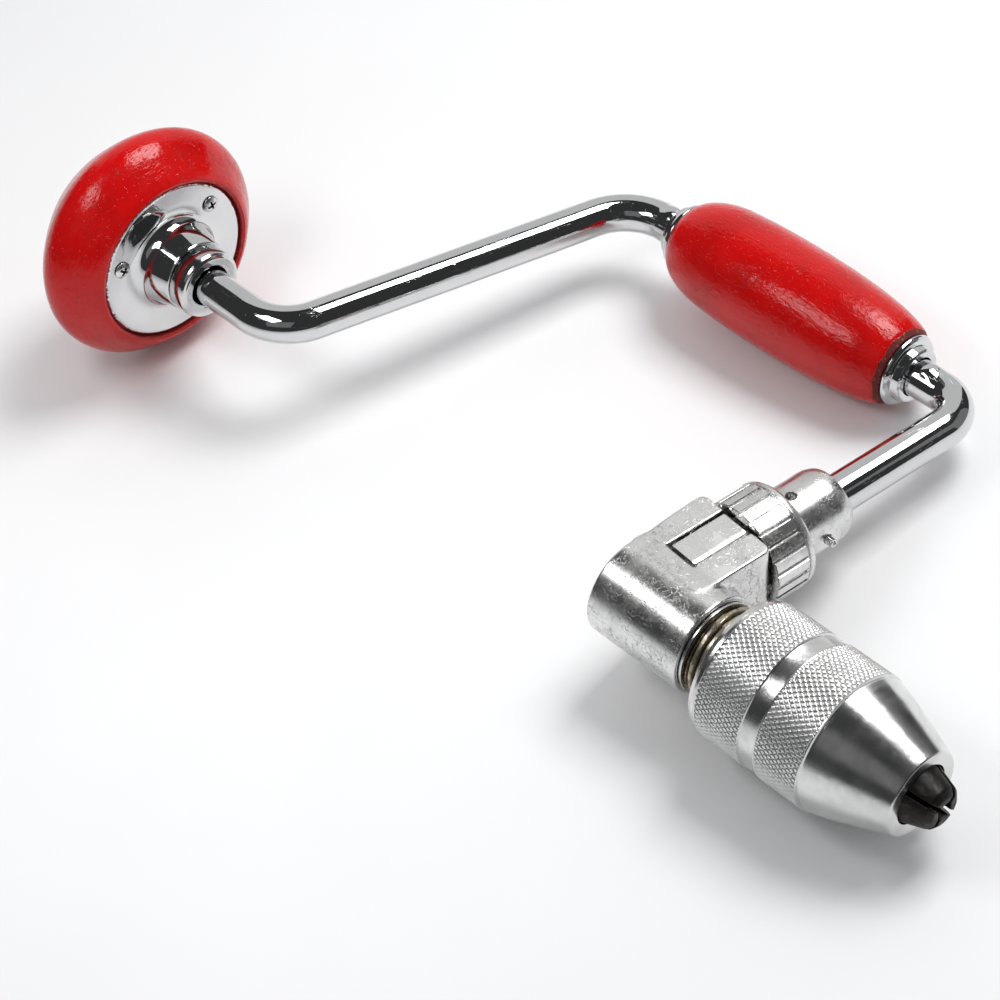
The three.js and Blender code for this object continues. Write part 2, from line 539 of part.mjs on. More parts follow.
// Four jaws, each a quarter of one turned blank with a tongue in the spindle's face.
const jawBlank = turned([
  [JAW_REAR_X, 4.2], [JAW_REAR_X, JAW_BACK_R], [NOSE_X - (JAW_BACK_R - JAW_NOSE_R) / JAW_CONE_SLOPE, JAW_BACK_R],
  [JAW_TIP_X - 1.2, coneRadius(JAW_TIP_X - 1.2)], [JAW_TIP_X, coneRadius(JAW_TIP_X) - 0.9],
  [JAW_TIP_X, 0], [310, 0], [308, 4.2], [JAW_REAR_X, 4.2],
]);
quarterTurns.forEach((turn, i) => {
  const quarter = solid(new THREE.ExtrudeGeometry(new THREE.Shape([
    [JAW_OPENING * Math.SQRT2 - JAW_HALF_GAP, JAW_HALF_GAP], [25, JAW_HALF_GAP], [25, 25], [JAW_HALF_GAP, 25],
    [JAW_HALF_GAP, JAW_OPENING * Math.SQRT2 - JAW_HALF_GAP],
  ].map(([y, z]) => new THREE.Vector2(y, z))), { depth: 60, bevelEnabled: false })
    .applyMatrix4(new THREE.Matrix4().makeBasis(
      new THREE.Vector3(0, 1, 0), new THREE.Vector3(0, 0, 1), new THREE.Vector3(1, 0, 0)))
    .translate(280, 0, 0)
    .rotateX(Math.PI / 4)
    .applyMatrix4(turn));
  const tongue = box([284.6, -2, 5], [JAW_REAR_X + 0.5, 2, 12.1], turn);
  add(`jaw_${i + 1}`, join(jawBlank.intersect(quarter), tongue), BLACK_STEEL);
});
const springFrame = AXIS_ALONG_X;
add('jaw_spring', wire(coil(277, 289.5, 2.5, 5), 0.45, 4, springFrame), BRIGHT_STEEL);

// --- laid on the table ------------------------------------------------------------------
const laid = new THREE.Group();
laid.name = 'bit_brace_laid';
tool.rotation.set(rad(REST_TILT[1]), rad(REST_TILT[0]), 0, 'XYZ');
laid.add(tool);
laid.updateMatrixWorld(true);
const bounds = new THREE.Box3().setFromObject(laid, true);
const middle = bounds.getCenter(new THREE.Vector3());
tool.position.set(-middle.x, -middle.y, -bounds.min.z);

export default laid;
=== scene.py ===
import json
import math

import bpy
import numpy as np
from mathutils import Matrix, Vector


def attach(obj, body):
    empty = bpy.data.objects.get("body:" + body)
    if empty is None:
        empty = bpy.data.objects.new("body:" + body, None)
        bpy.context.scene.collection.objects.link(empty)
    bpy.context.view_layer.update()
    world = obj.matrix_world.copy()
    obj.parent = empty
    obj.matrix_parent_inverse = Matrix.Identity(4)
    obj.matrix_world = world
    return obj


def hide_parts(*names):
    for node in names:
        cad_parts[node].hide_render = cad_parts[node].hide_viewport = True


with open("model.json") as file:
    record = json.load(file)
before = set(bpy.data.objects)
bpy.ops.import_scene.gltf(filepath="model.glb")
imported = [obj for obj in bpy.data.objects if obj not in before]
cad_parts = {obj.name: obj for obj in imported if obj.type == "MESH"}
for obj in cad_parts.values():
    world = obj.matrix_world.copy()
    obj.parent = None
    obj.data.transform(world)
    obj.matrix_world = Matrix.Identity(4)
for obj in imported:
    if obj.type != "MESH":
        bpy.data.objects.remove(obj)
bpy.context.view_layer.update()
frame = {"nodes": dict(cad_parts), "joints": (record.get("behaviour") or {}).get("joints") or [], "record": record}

# Lengths below are millimetres in the tool's own frame: x along the line from the head to the
# chuck, y towards the sweep grip, z square to the crank's plane. The arm frame has s along the
# lower arm, a square to it in the crank's plane, and the same z.
MM = 0.001


# --- frames ---
def unit(v):
    v = np.array(v, float)
    return v / np.linalg.norm(v)


joints = {j["name"]: j for j in frame["joints"]}
ORIGIN = np.array(joints["head_spin"]["pos_m"], float)
AXIS_X = unit(joints["head_spin"]["axis"])
to_grip = np.array(joints["grip_spin"]["pos_m"], float) - ORIGIN
AXIS_Y = unit(to_grip - (to_grip @ AXIS_X) * AXIS_X)
TOOL = np.stack([AXIS_X, AXIS_Y, np.cross(AXIS_X, AXIS_Y)])


def to_tool(point):
    return TOOL @ (np.array(point, float) - ORIGIN) / MM


def to_row(points):
    return np.asarray(points, float) @ TOOL * MM + ORIGIN


GRIP_Y = to_tool(joints["grip_spin"]["pos_m"])[1]
ARM_S = unit(TOOL @ np.array(joints["selector_turn"]["axis"], float))
ARM_A = np.array([ARM_S[1], -ARM_S[0], 0.0])
arm_point = to_tool(joints["selector_turn"]["pos_m"])
ARM_FOOT = arm_point - ARM_S * arm_point[1] / ARM_S[1]
ARM = np.stack([ARM_A, ARM_S, np.array([0.0, 0.0, 1.0])])


def arm_to_tool(points):
    return np.asarray(points, float) @ ARM + ARM_FOOT


def tool_to_arm(points):
    return (np.asarray(points, float) - ARM_FOOT) @ ARM.T


# --- numbers ---
def smooth(low, high, x):
    t = np.clip((x - low) / (high - low), 0, 1)
    return t * t * (3 - 2 * t)


def lattice(cell, seed):
    """A value from -1 to 1 for each cell, hashed from its whole numbers."""
    x, y, z = (cell[:, i].astype(np.int64) for i in range(3))
    h = (x * 374761393 + y * 668265263 + z * 1103515245 + seed * 144269504) & 0xFFFFFFFF
    h = ((h ^ (h >> 13)) * 1274126177) & 0xFFFFFFFF
    return (h ^ (h >> 16)) / 2147483648.0 - 1.0


def noise3(points, size, seed):
    """Smooth noise from -1 to 1, with features of about `size`."""
    q = np.asarray(points, float) / size
    base = np.floor(q)
    f = q - base
    f = f * f * (3 - 2 * f)
    total = 0.0
    for corner in range(8):
        step = np.array([corner & 1, corner >> 1 & 1, corner >> 2 & 1], float)
        weight = np.prod(np.where(step > 0, f, 1 - f), axis=1)
        total = total + weight * lattice(base + step, seed)
    return total


# --- profiles ---
NEARLY_STRAIGHT = math.radians(89)
EDGE_SHARE = 0.45


def fillet(points, radius, closed=False, steps=4):
    """Corners of a polyline rounded to about `radius`, less where an edge is short."""
    pts = np.array(points, float)
    count = len(pts)
    out = [] if closed else [pts[0]]
    for i in range(0 if closed else 1, count if closed else count - 1):
        before, here, after = pts[i - 1], pts[i], pts[(i + 1) % count]
        u, v = before - here, after - here
        lu, lv = np.linalg.norm(u), np.linalg.norm(v)
        u, v = u / lu, v / lv
        half = math.acos(max(-1, min(1, float(u @ v)))) / 2
        if half > NEARLY_STRAIGHT:
            out.append(here)
            continue
        reach = min(radius / math.tan(half), EDGE_SHARE * lu, EDGE_SHARE * lv)
        r = reach * math.tan(half)
        middle = here + unit(u + v) * r / math.sin(half)
        start, end = here + u * reach - middle, here + v * reach - middle
        turn = math.pi - 2 * half
        for k in range(steps + 1):
            t = k / steps
            arc = math.sin((1 - t) * turn) * start + math.sin(t * turn) * end
            out.append(middle + arc / math.sin(turn))
    if not closed:
        out.append(pts[-1])
    return np.array(out)


def spline(points, step=0.6):
    """A smooth curve through the points."""
    p = np.array(points, float)
    p = np.vstack([2 * p[0] - p[1], p, 2 * p[-1] - p[-2]])
    out = []
    for i in range(1, len(p) - 2):
        n = max(1, int(round(np.linalg.norm(p[i + 1] - p[i]) / step)))
        t = (np.arange(n) / n)[:, None]
        out.append(0.5 * (2 * p[i] + (p[i + 1] - p[i - 1]) * t
                          + (2 * p[i - 1] - 5 * p[i] + 4 * p[i + 1] - p[i + 2]) * t**2
                          + (3 * p[i] - p[i - 1] - 3 * p[i + 1] + p[i + 2]) * t**3))
    return np.vstack(out + [p[-2:-1]])


def dense(points, step):
    """Long straight runs split into short ones."""
    p = np.array(points, float)
    out = [p[:1]]
    for a, b in zip(p[:-1], p[1:]):
        n = max(1, int(math.ceil(np.linalg.norm(b - a) / step)))
        out.append(a + (b - a) * (np.arange(1, n + 1) / n)[:, None])
    return np.vstack(out)


# --- meshes ---
NO_TRIS = np.zeros((0, 3), int)


def outward(verts, quads, tris):
    faces = np.vstack([quads[:, [0, 1, 2]], quads[:, [0, 2, 3]], tris])
    a, b, c = (verts[faces[:, i]] for i in range(3))
    if np.einsum("ij,ij->i", a, np.cross(b, c)).sum() < 0:
        return quads[:, ::-1], tris[:, ::-1]
    return quads, tris


def lathe(profile, segs, closed=False, offset=None):
    """A profile of [along, radius] turned about x. `offset` pushes the skin out."""
    prof = np.array(profile, float)
    along = np.roll(prof, -1, 0) - np.roll(prof, 1, 0)
    if not closed:
        along[0], along[-1] = prof[1] - prof[0], prof[-1] - prof[-2]
    along /= np.linalg.norm(along, axis=1)[:, None] + 1e-12
    head = 0 if closed or prof[0, 1] > 1e-6 else 1
    tail = len(prof) if closed or prof[-1, 1] > 1e-6 else len(prof) - 1
    rows, out_dir = prof[head:tail], np.stack([-along[:, 1], along[:, 0]], 1)[head:tail]
    theta = 2 * math.pi * np.arange(segs) / segs
    x = np.repeat(rows[:, :1], segs, 1)
    r = np.repeat(rows[:, 1:], segs, 1)
    if offset is not None:
        push = offset(x, theta[None, :], r)
        x, r = x + push * out_dir[:, :1], r + push * out_dir[:, 1:]
    verts = np.stack([x, r * np.cos(theta), r * np.sin(theta)], -1).reshape(-1, 3)
    n = len(rows)
    i, j = np.meshgrid(np.arange(n if closed else n - 1), np.arange(segs), indexing="ij")
    i, j, k, m = i.ravel(), j.ravel(), (j.ravel() + 1) % segs, (i.ravel() + 1) % n
    quads = np.stack([i * segs + j, i * segs + k, m * segs + k, m * segs + j], 1)
    tris = []
    around = np.arange(segs)
    for pole, row, flip in ((head, 0, 1), (tail < len(prof), n - 1, 0)):
        if not closed and pole:
            verts = np.vstack([verts, [[prof[0 if flip else -1][0], 0, 0]]])
            a, b = row * segs + around, row * segs + (around + 1) % segs
            tip = np.full(segs, len(verts) - 1)
            tris.append(np.stack([tip, b, a] if flip else [tip, a, b], 1))
    tris = np.vstack(tris) if tris else NO_TRIS
    return (verts, *outward(verts, quads, tris))


SLAB_POINTS = 400000


def net(shape, low, high, cell, polish=3):
    """The skin of a signed distance function, as quads whose corners lie on it.

    Each corner starts at the mean of its cell's crossings and is moved down the gradient `polish` times.
    """
    low, high = np.array(low, float), np.array(high, float)
    count = np.ceil((high - low) / cell).astype(int) + 1
    axes = [low[i] + cell * np.arange(count[i]) for i in range(3)]
    value = np.empty(tuple(count))
    slab = max(1, SLAB_POINTS // (count[1] * count[2]))
    for start in range(0, count[0], slab):
        grid = np.stack(np.meshgrid(axes[0][start:start + slab], axes[1], axes[2], indexing="ij"), -1)
        value[start:start + slab] = shape(grid.reshape(-1, 3)).reshape(grid.shape[:3])
    inside = value < 0
    corners = [(a, b, c) for a in (0, 1) for b in (0, 1) for c in (0, 1)]
    number = sum(inside[tuple(slice(o, n - 1 + o) for o, n in zip(corner, count))].astype(np.int8)
                 for corner in corners)
    cells = np.argwhere((number > 0) & (number < 8))
    ids = np.full(tuple(count - 1), -1)
    ids[tuple(cells.T)] = np.arange(len(cells))
    at = {corner: value[tuple((cells + corner).T)] for corner in corners}
    total, hits = np.zeros((len(cells), 3)), np.zeros(len(cells))
    for a in corners:
        for axis in range(3):
            if a[axis]:
                continue
            b = tuple(1 if i == axis else a[i] for i in range(3))
            crossed = (at[a] < 0) != (at[b] < 0)
            t = np.where(crossed, at[a] / np.where(crossed, at[a] - at[b], 1), 0)
            point = np.array(a, float) + t[:, None] * (np.array(b) - np.array(a))
            total += point * crossed[:, None]
            hits += crossed
    verts = low + cell * (cells + total / hits[:, None])
    h = cell * 0.1
    for _ in range(polish):
        d = shape(verts)
        g = np.stack([(shape(verts + e) - shape(verts - e)) / (2 * h) for e in np.eye(3) * h], 1)
        move = -(d / np.maximum((g * g).sum(1), 0.25))[:, None] * g
        size = np.linalg.norm(move, axis=1)[:, None]
        verts = verts + move * np.minimum(1, 0.5 * cell / np.maximum(size, 1e-9))
    quads = []
    for axis in range(3):
        lo = [slice(1, n - 1) for n in count]
        hi = list(lo)
        lo[axis], hi[axis] = slice(0, count[axis] - 1), slice(1, count[axis])
        first, second = inside[tuple(lo)], inside[tuple(hi)]
        place = np.argwhere(first != second)
        rising = second[tuple(place.T)]
        place = place + [0 if i == axis else 1 for i in range(3)]
        u, v = (axis + 1) % 3, (axis + 2) % 3
        ring = []
        for du, dv in ((0, 0), (-1, 0), (-1, -1), (0, -1)):
            q = place.copy()
            q[:, u] += du
            q[:, v] += dv
            ring.append(ids[tuple(q.T)])
        face = np.stack(ring, 1)
        face[rising] = face[rising][:, ::-1]
        quads.append(face)
    return (verts, *outward(verts, np.vstack(quads), NO_TRIS))


def quarter_turns(verts, turns):
    """Points turned about x by right angles."""
    for _ in range(turns):
        verts = np.stack([verts[:, 0], -verts[:, 2], verts[:, 1]], 1)
    return verts


def mesh_object(name, verts, quads, tris):
    me = bpy.data.meshes.new(name)
    me.vertices.add(len(verts))
    me.vertices.foreach_set("co", np.asarray(verts, np.float32).ravel())
    loops = np.concatenate([np.ravel(quads), np.ravel(tris)]).astype(np.int32)
    me.loops.add(len(loops))
    me.loops.foreach_set("vertex_index", loops)
    starts = np.concatenate([np.arange(len(quads)) * 4, len(quads) * 4 + np.arange(len(tris)) * 3])
    me.polygons.add(len(starts))
    me.polygons.foreach_set("loop_start", starts.astype(np.int32))
    me.update(calc_edges=True)
    me.validate()
    obj = bpy.data.objects.new(name, me)
    bpy.context.scene.collection.objects.link(obj)
    return obj


def arm_object(name, verts, quads, tris):
    """A mesh made in the arm frame, taken to the tool frame."""
    verts = arm_to_tool(verts)
    return mesh_object(name, verts, *outward(verts, quads, tris))


def carve(obj, *cutters):
    """Cuts the other meshes away from obj."""
    solvers = bpy.types.BooleanModifier.bl_rna.properties["solver"].enum_items.keys()
    for i, cutter in enumerate(cutters):
        tool = mesh_object(f"{obj.name}_cut_{i}", *cutter)
        modifier = obj.modifiers.new("cut", "BOOLEAN")
        modifier.operation, modifier.object = "DIFFERENCE", tool
        modifier.solver = "MANIFOLD" if "MANIFOLD" in solvers else "EXACT"
        bpy.context.view_layer.update()
        made = bpy.data.meshes.new_from_object(obj.evaluated_get(bpy.context.evaluated_depsgraph_get()))
        obj.modifiers.clear()
        if len(made.polygons) > 0:
            obj.data = made
        bpy.data.objects.remove(tool)
    return obj


def place(obj, node, body, slot_name, material, local=None, centre=(0, 0, 0), arm=False, edge=38):
    """Takes a mesh in tool millimetres to the row frame, and lets it stand for a CAD node.

    The attribute "local" keeps each point's place about the piece's own axis, for the materials.
    """
    me = obj.data
    co = np.empty(len(me.vertices) * 3)
    me.vertices.foreach_get("co", co)
    co = co.reshape(-1, 3)
    if local is None:
        q = tool_to_arm(co) if arm else co - np.array(centre, float)
        local = q[:, [1, 0, 2]] if arm else q
    attribute = me.attributes.new("local", "FLOAT_VECTOR", "POINT")
    attribute.data.foreach_set("vector", np.asarray(local, np.float32).ravel())
    me.vertices.foreach_set("co", to_row(co).astype(np.float32).ravel())
    me.polygons.foreach_set("use_smooth", np.ones(len(me.polygons), bool))
    me.set_sharp_from_angle(angle=math.radians(edge))
    me.update()
    me.materials.clear()
    me.materials.append(material)
    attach(obj, body)
    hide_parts(node)
    return obj


# --- signed distances ---
def join(a, b, k=0.0):
    if k <= 0:
        return np.minimum(a, b)
    h = np.clip(0.5 + 0.5 * (b - a) / k, 0, 1)
    return b + (a - b) * h - k * h * (1 - h)


def both(a, b, k=0.0):
    return -join(-a, -b, k)


def less(a, b, k=0.0):
    return both(a, -b, k)


def plane_pair(u, v, edge):
    """The corner where the spans u < 0 and v < 0 meet, rounded by `edge`."""
    a, b = u + edge, v + edge
    return np.minimum(np.maximum(a, b), 0) + np.hypot(np.maximum(a, 0), np.maximum(b, 0)) - edge


def rod(along, radial, start, end, radius, edge=0.0):
    middle, half = (start + end) / 2, (end - start) / 2
    return plane_pair(np.abs(along - middle) - half, radial - radius, edge)


def box(p, low, high, edge=0.0):
    low, high = np.array(low, float), np.array(high, float)
    q = np.abs(p - (low + high) / 2) - (high - low) / 2 + edge
    return np.minimum(q.max(1), 0) + np.linalg.norm(np.maximum(q, 0), axis=1) - edge


def outline(u, v, points):
    """Distance to a closed outline in the plane."""
    pts = np.array(points, float)
    best, sign = np.full(len(u), np.inf), np.ones(len(u))
    for i in range(len(pts)):
        a, b = pts[i], pts[i - 1]
        eu, ev = b - a
        wu, wv = u - a[0], v - a[1]
        t = np.clip((wu * eu + wv * ev) / (eu * eu + ev * ev), 0, 1)
        best = np.minimum(best, (wu - eu * t) ** 2 + (wv - ev * t) ** 2)
        up, below = v >= a[1], v < b[1]
        side = eu * wv > ev * wu
        sign = np.where((up & below & side) | (~up & ~below & ~side), -sign, sign)
    return sign * np.sqrt(best)


# --- materials ---
class Look:
    """A procedural material, built on the attribute "local" or on object coordinates."""

    def __init__(self, name, on_piece=True):
        self.material = bpy.data.materials.new(name)
        self.material.use_nodes = True
        self.tree = self.material.node_tree
        self.tree.nodes.clear()
        self.bsdf = self.add("ShaderNodeBsdfPrincipled")
        output = self.add("ShaderNodeOutputMaterial")
        self.link(self.bsdf.outputs[0], output.inputs["Surface"])
        if on_piece:
            source = self.add("ShaderNodeAttribute", attribute_name="local")
            self.place = source.outputs["Vector"]
        else:
            source = self.add("ShaderNodeTexCoord")
            self.place = self.vector("MULTIPLY", source.outputs["Object"], (1 / MM, 1 / MM, 1 / MM))

    def add(self, kind, **props):
        node = self.tree.nodes.new(kind)
        for key, value in props.items():
            setattr(node, key, value)
        return node

    def link(self, a, b):
        self.tree.links.new(a, b)

    def put(self, socket, value):
        if isinstance(value, bpy.types.NodeSocket):
            self.link(value, socket)
        elif socket.type == "RGBA":
            socket.default_value = (*value, 1.0)
        else:
            socket.default_value = value

    def vector(self, operation, a, b):
        node = self.add("ShaderNodeVectorMath", operation=operation)
        self.put(node.inputs[0], a)
        self.put(node.inputs[1], b)
        return node.outputs[0]

    def math(self, operation, a, b=0.0, clamp=False):
        node = self.add("ShaderNodeMath", operation=operation, use_clamp=clamp)
        self.put(node.inputs[0], a)
        self.put(node.inputs[1], b)
        return node.outputs[0]

    def times(self, a, b, clamp=False):
        return self.math("MULTIPLY", a, b, clamp)

    def plus(self, a, b):
        return self.math("ADD", a, b)

    def most(self, a, b):
        return self.math("MAXIMUM", a, b)

    def parts(self):
        node = self.add("ShaderNodeSeparateXYZ")
        self.link(self.place, node.inputs[0])
        return node.outputs

    def radius(self):
        _, y, z = self.parts()
        return self.math("SQRT", self.plus(self.times(y, y), self.times(z, z)))

    def noise(self, size, stretch=(1, 1, 1), detail=3.0, rough=0.5, shift=0.0):
        scale = tuple(1.0 / (size * s) for s in stretch)
        where = self.vector("MULTIPLY", self.place, scale)
        where = self.vector("ADD", where, (shift, shift * 0.7, shift * 1.3))
        node = self.add("ShaderNodeTexNoise")
        node.inputs["Scale"].default_value = 1.0
        node.inputs["Detail"].default_value = detail
        node.inputs["Roughness"].default_value = rough
        self.link(where, node.inputs["Vector"])
        return node.outputs["Fac"]

    def ramp(self, value, low, high, to_low=0.0, to_high=1.0):
        node = self.add("ShaderNodeMapRange", interpolation_type="SMOOTHSTEP")
        self.put(node.inputs["Value"], value)
        for key, number in (("From Min", low), ("From Max", high), ("To Min", to_low), ("To Max", to_high)):
            node.inputs[key].default_value = number
        return node.outputs["Result"]

    def vein(self, size, width, shift, stretch=(1, 1, 1), detail=3.0):
        """Thin wandering lines: where a noise crosses its middle."""
        value = self.noise(size, stretch, detail=detail, shift=shift)
        away = self.math("ABSOLUTE", self.math("SUBTRACT", value, 0.5))
        return self.ramp(away, 0.0, width, 1.0, 0.0)

    def mix(self, share, a, b):
        node = self.add("ShaderNodeMix", data_type="RGBA")
        self.put(node.inputs["Factor"], share)
        for socket, colour in ((node.inputs[6], a), (node.inputs[7], b)):
            self.put(socket, colour)
        return node.outputs[2]

    def mix_value(self, share, a, b):
        node = self.add("ShaderNodeMix", data_type="FLOAT")
        self.put(node.inputs["Factor"], share)
        self.put(node.inputs[2], a)
        self.put(node.inputs[3], b)
        return node.outputs[0]

    def bump(self, height, distance, strength=1.0, under=None):
        """`distance` is in millimetres."""
        node = self.add("ShaderNodeBump")
        node.inputs["Strength"].default_value = strength
        node.inputs["Distance"].default_value = distance * MM
        self.put(node.inputs["Height"], height)
        if under is not None:
            self.link(under, node.inputs["Normal"])
        return node.outputs[0]

    def finish(self, colour, roughness, normal=None, metallic=0.0, **constants):
        self.put(self.bsdf.inputs["Base Color"], colour)
        self.put(self.bsdf.inputs["Roughness"], roughness)
        self.put(self.bsdf.inputs["Metallic"], metallic)
        if normal is not None:
            self.link(normal, self.bsdf.inputs["Normal"])
        for key, value in constants.items():
            self.bsdf.inputs[key.replace("_", " ")].default_value = value
        return self.material


# Base colours, as linear light.
RED = (0.52, 0.003, 0.003)
DEEP_RED = (0.27, 0.003, 0.004)
# Next: a dark maroon for the scratches, also used as painted shade where the lacquer meets the metal.
DIRT_AND_SHADE_RED = (0.075, 0.010, 0.008)
BARE_WOOD = (0.20, 0.085, 0.04)
RED_SMEAR = (0.36, 0.006, 0.006)
CHROME_LIGHT, CHROME_DARK, CHROME_SPECK = (0.71, 0.715, 0.72), (0.63, 0.635, 0.64), (0.10, 0.09, 0.08)
CAST_LIGHT, CAST_DARK, CAST_PIT = (0.77, 0.77, 0.765), (0.66, 0.66, 0.65), (0.05, 0.045, 0.04)
STEEL_LIGHT, STEEL_DARK, STEEL_SPECK = (0.76, 0.76, 0.755), (0.66, 0.66, 0.655), (0.07, 0.065, 0.06)
SCREW_RECESS = (0.04, 0.038, 0.035)
OIL_LIGHT, OIL_DARK = (0.56, 0.53, 0.46), (0.30, 0.235, 0.14)
GREASE, THREAD_ROOT = (0.13, 0.095, 0.055), (0.06, 0.045, 0.03)
OXIDE, RUBBED = (0.022, 0.020, 0.018), (0.085, 0.078, 0.068)


def lacquer(name, kind):
    """Thick brushed red lacquer over turned wood, worn at its ends, with painted shade where it meets the metal.
    """
    m = Look(name)
    along, _, _ = m.parts()
    radius = m.radius()
    cloud = m.noise(16, detail=3)
    streak = m.noise(1.6, (14, 1, 1) if kind == "grip" else (1, 5, 5), detail=4, shift=3)
    colour = m.mix(m.ramp(cloud, 0.40, 0.75, 0.0, 0.35), RED, DEEP_RED)
    colour = m.mix(m.ramp(streak, 0.60, 0.8, 0.0, 0.30), colour, DEEP_RED)
    scratch = m.times(m.vein(5.5, 0.006, 11, (3, 1, 1)), m.ramp(m.noise(9, shift=21), 0.56, 0.62))
    colour = m.mix(m.times(scratch, 0.75), colour, DIRT_AND_SHADE_RED)
    fleck = m.ramp(m.noise(0.45, detail=1, shift=5), 0.77, 0.80)
    colour = m.mix(m.times(fleck, 0.6), colour, DEEP_RED)
    wander = m.times(m.math("SUBTRACT", m.noise(2.2, shift=8), 0.5), 1.6)
    # Near the grip's ends and round the plate's seat on the knob, the colour turns dark maroon and bare wood. This
    # is partly wear and partly painted shade where the wood meets the metal.
    if kind == "grip":
        lower = m.ramp(m.plus(along, wander), 205.55, 205.95)
        upper = m.ramp(m.plus(along, wander), 115.7, 115.2)
        worn_and_shaded = m.most(lower, upper)
    else:
        inner = m.ramp(m.plus(radius, wander), 28.5, 29.0, 1.0, 0.0)
        worn_and_shaded = m.times(inner, m.ramp(along, -2.5, -0.8))
    dirt_and_shade = m.mix(m.ramp(m.noise(1.1, shift=14, detail=4), 0.56, 0.70), DIRT_AND_SHADE_RED, BARE_WOOD)
    colour = m.mix(m.times(worn_and_shaded, 0.9 if kind == "grip" else 0.6), colour, dirt_and_shade)
    rough = m.ramp(m.noise(4.5, shift=31, detail=2), 0.3, 0.75, 0.11, 0.19)
    rough = m.mix_value(worn_and_shaded, rough, 0.62)
    nib = m.ramp(m.noise(1.2, detail=1, shift=41), 0.66, 0.76)
    peel = m.noise(3.4, detail=1, shift=51)
    brush = m.noise(1.0, (3, 1, 1) if kind == "grip" else (1, 3, 3), detail=3, rough=0.6, shift=61)
    normal = m.bump(peel, 0.12)
    normal = m.bump(brush, 0.16, under=normal)
    normal = m.bump(nib, 0.14, under=normal)
    normal = m.bump(scratch, -0.06, under=normal)
    normal = m.bump(m.times(m.noise(0.5, shift=71, detail=4), worn_and_shaded), 0.25, under=normal)
    return m.finish(colour, rough, normal, Specular_IOR_Level=0.33)


def chrome(name, on_piece=True, paint_radius=None, paint_along=None):
    """Bright plating over polished steel, with smudges and hairline scratches."""
    m = Look(name, on_piece)
    smudge = m.noise(11, detail=4, rough=0.6, shift=2)
    rough = m.ramp(smudge, 0.42, 0.72, 0.035, 0.13)
    speck = m.ramp(m.noise(0.55, detail=1, shift=9), 0.765, 0.80)
    hair = m.times(m.vein(2.0, 0.006, 17, (9, 1, 1)), m.ramp(m.noise(12, shift=23), 0.55, 0.65))
    colour = m.mix(smudge, CHROME_LIGHT, CHROME_DARK)
    colour = m.mix(m.times(speck, 0.75), colour, CHROME_SPECK)
    rough = m.plus(rough, m.times(m.most(speck, hair), 0.18))
    normal = m.bump(m.noise(7, detail=2, shift=33), 0.06)
    normal = m.bump(m.most(speck, m.times(hair, 0.4)), -0.03, under=normal)
    metallic = 1.0
    if paint_radius is not None or paint_along is not None:
        ragged = m.noise(1.5, shift=43, detail=4, rough=0.65)
        ragged = m.times(m.math("SUBTRACT", ragged, 0.5), 2.6)
        if paint_radius is not None:
            paint = m.ramp(m.plus(m.radius(), ragged), paint_radius, paint_radius + 0.12)
        else:
            paint = m.ramp(m.plus(m.parts()[0], ragged), paint_along, paint_along - 0.12)
        colour = m.mix(paint, colour, RED_SMEAR)
        rough = m.mix_value(paint, rough, 0.3)
        metallic = m.ramp(paint, 0.0, 1.0, 1.0, 0.0)
        normal = m.bump(paint, 0.06, under=normal)
    return m.finish(colour, rough, normal, metallic)


def cast_plate(name, pits=1.0, on_piece=True):
    """Plating over a rough casting: satin, dimpled, with dark pits and hairline cracks."""
    m = Look(name, on_piece)
    grain = m.noise(0.9, detail=4, rough=0.6)
    blotch = m.noise(6.5, detail=4, rough=0.6, shift=4)
    where = m.ramp(m.noise(9, detail=3, shift=13), 0.40, 0.58)
    pit = m.ramp(m.noise(0.42, detail=2, rough=0.6, shift=7), 0.645, 0.69)
    pit = m.times(pit, m.plus(m.times(where, 0.8), 0.12))
    crack = m.times(m.vein(2.1, 0.016, 19, detail=5), where)
    dark = m.times(m.most(pit, m.times(crack, 0.9)), pits, clamp=True)
    colour = m.mix(m.ramp(blotch, 0.35, 0.7), CAST_LIGHT, CAST_DARK)
    colour = m.mix(m.times(dark, 0.85), colour, CAST_PIT)
    rough = m.ramp(blotch, 0.3, 0.75, 0.21, 0.33)
    rough = m.plus(rough, m.times(dark, 0.25))
    normal = m.bump(m.noise(6, detail=1, shift=27), 0.05)
    normal = m.bump(grain, 0.014, under=normal)
    normal = m.bump(dark, -0.05, under=normal)
    return m.finish(colour, rough, normal, 1.0)


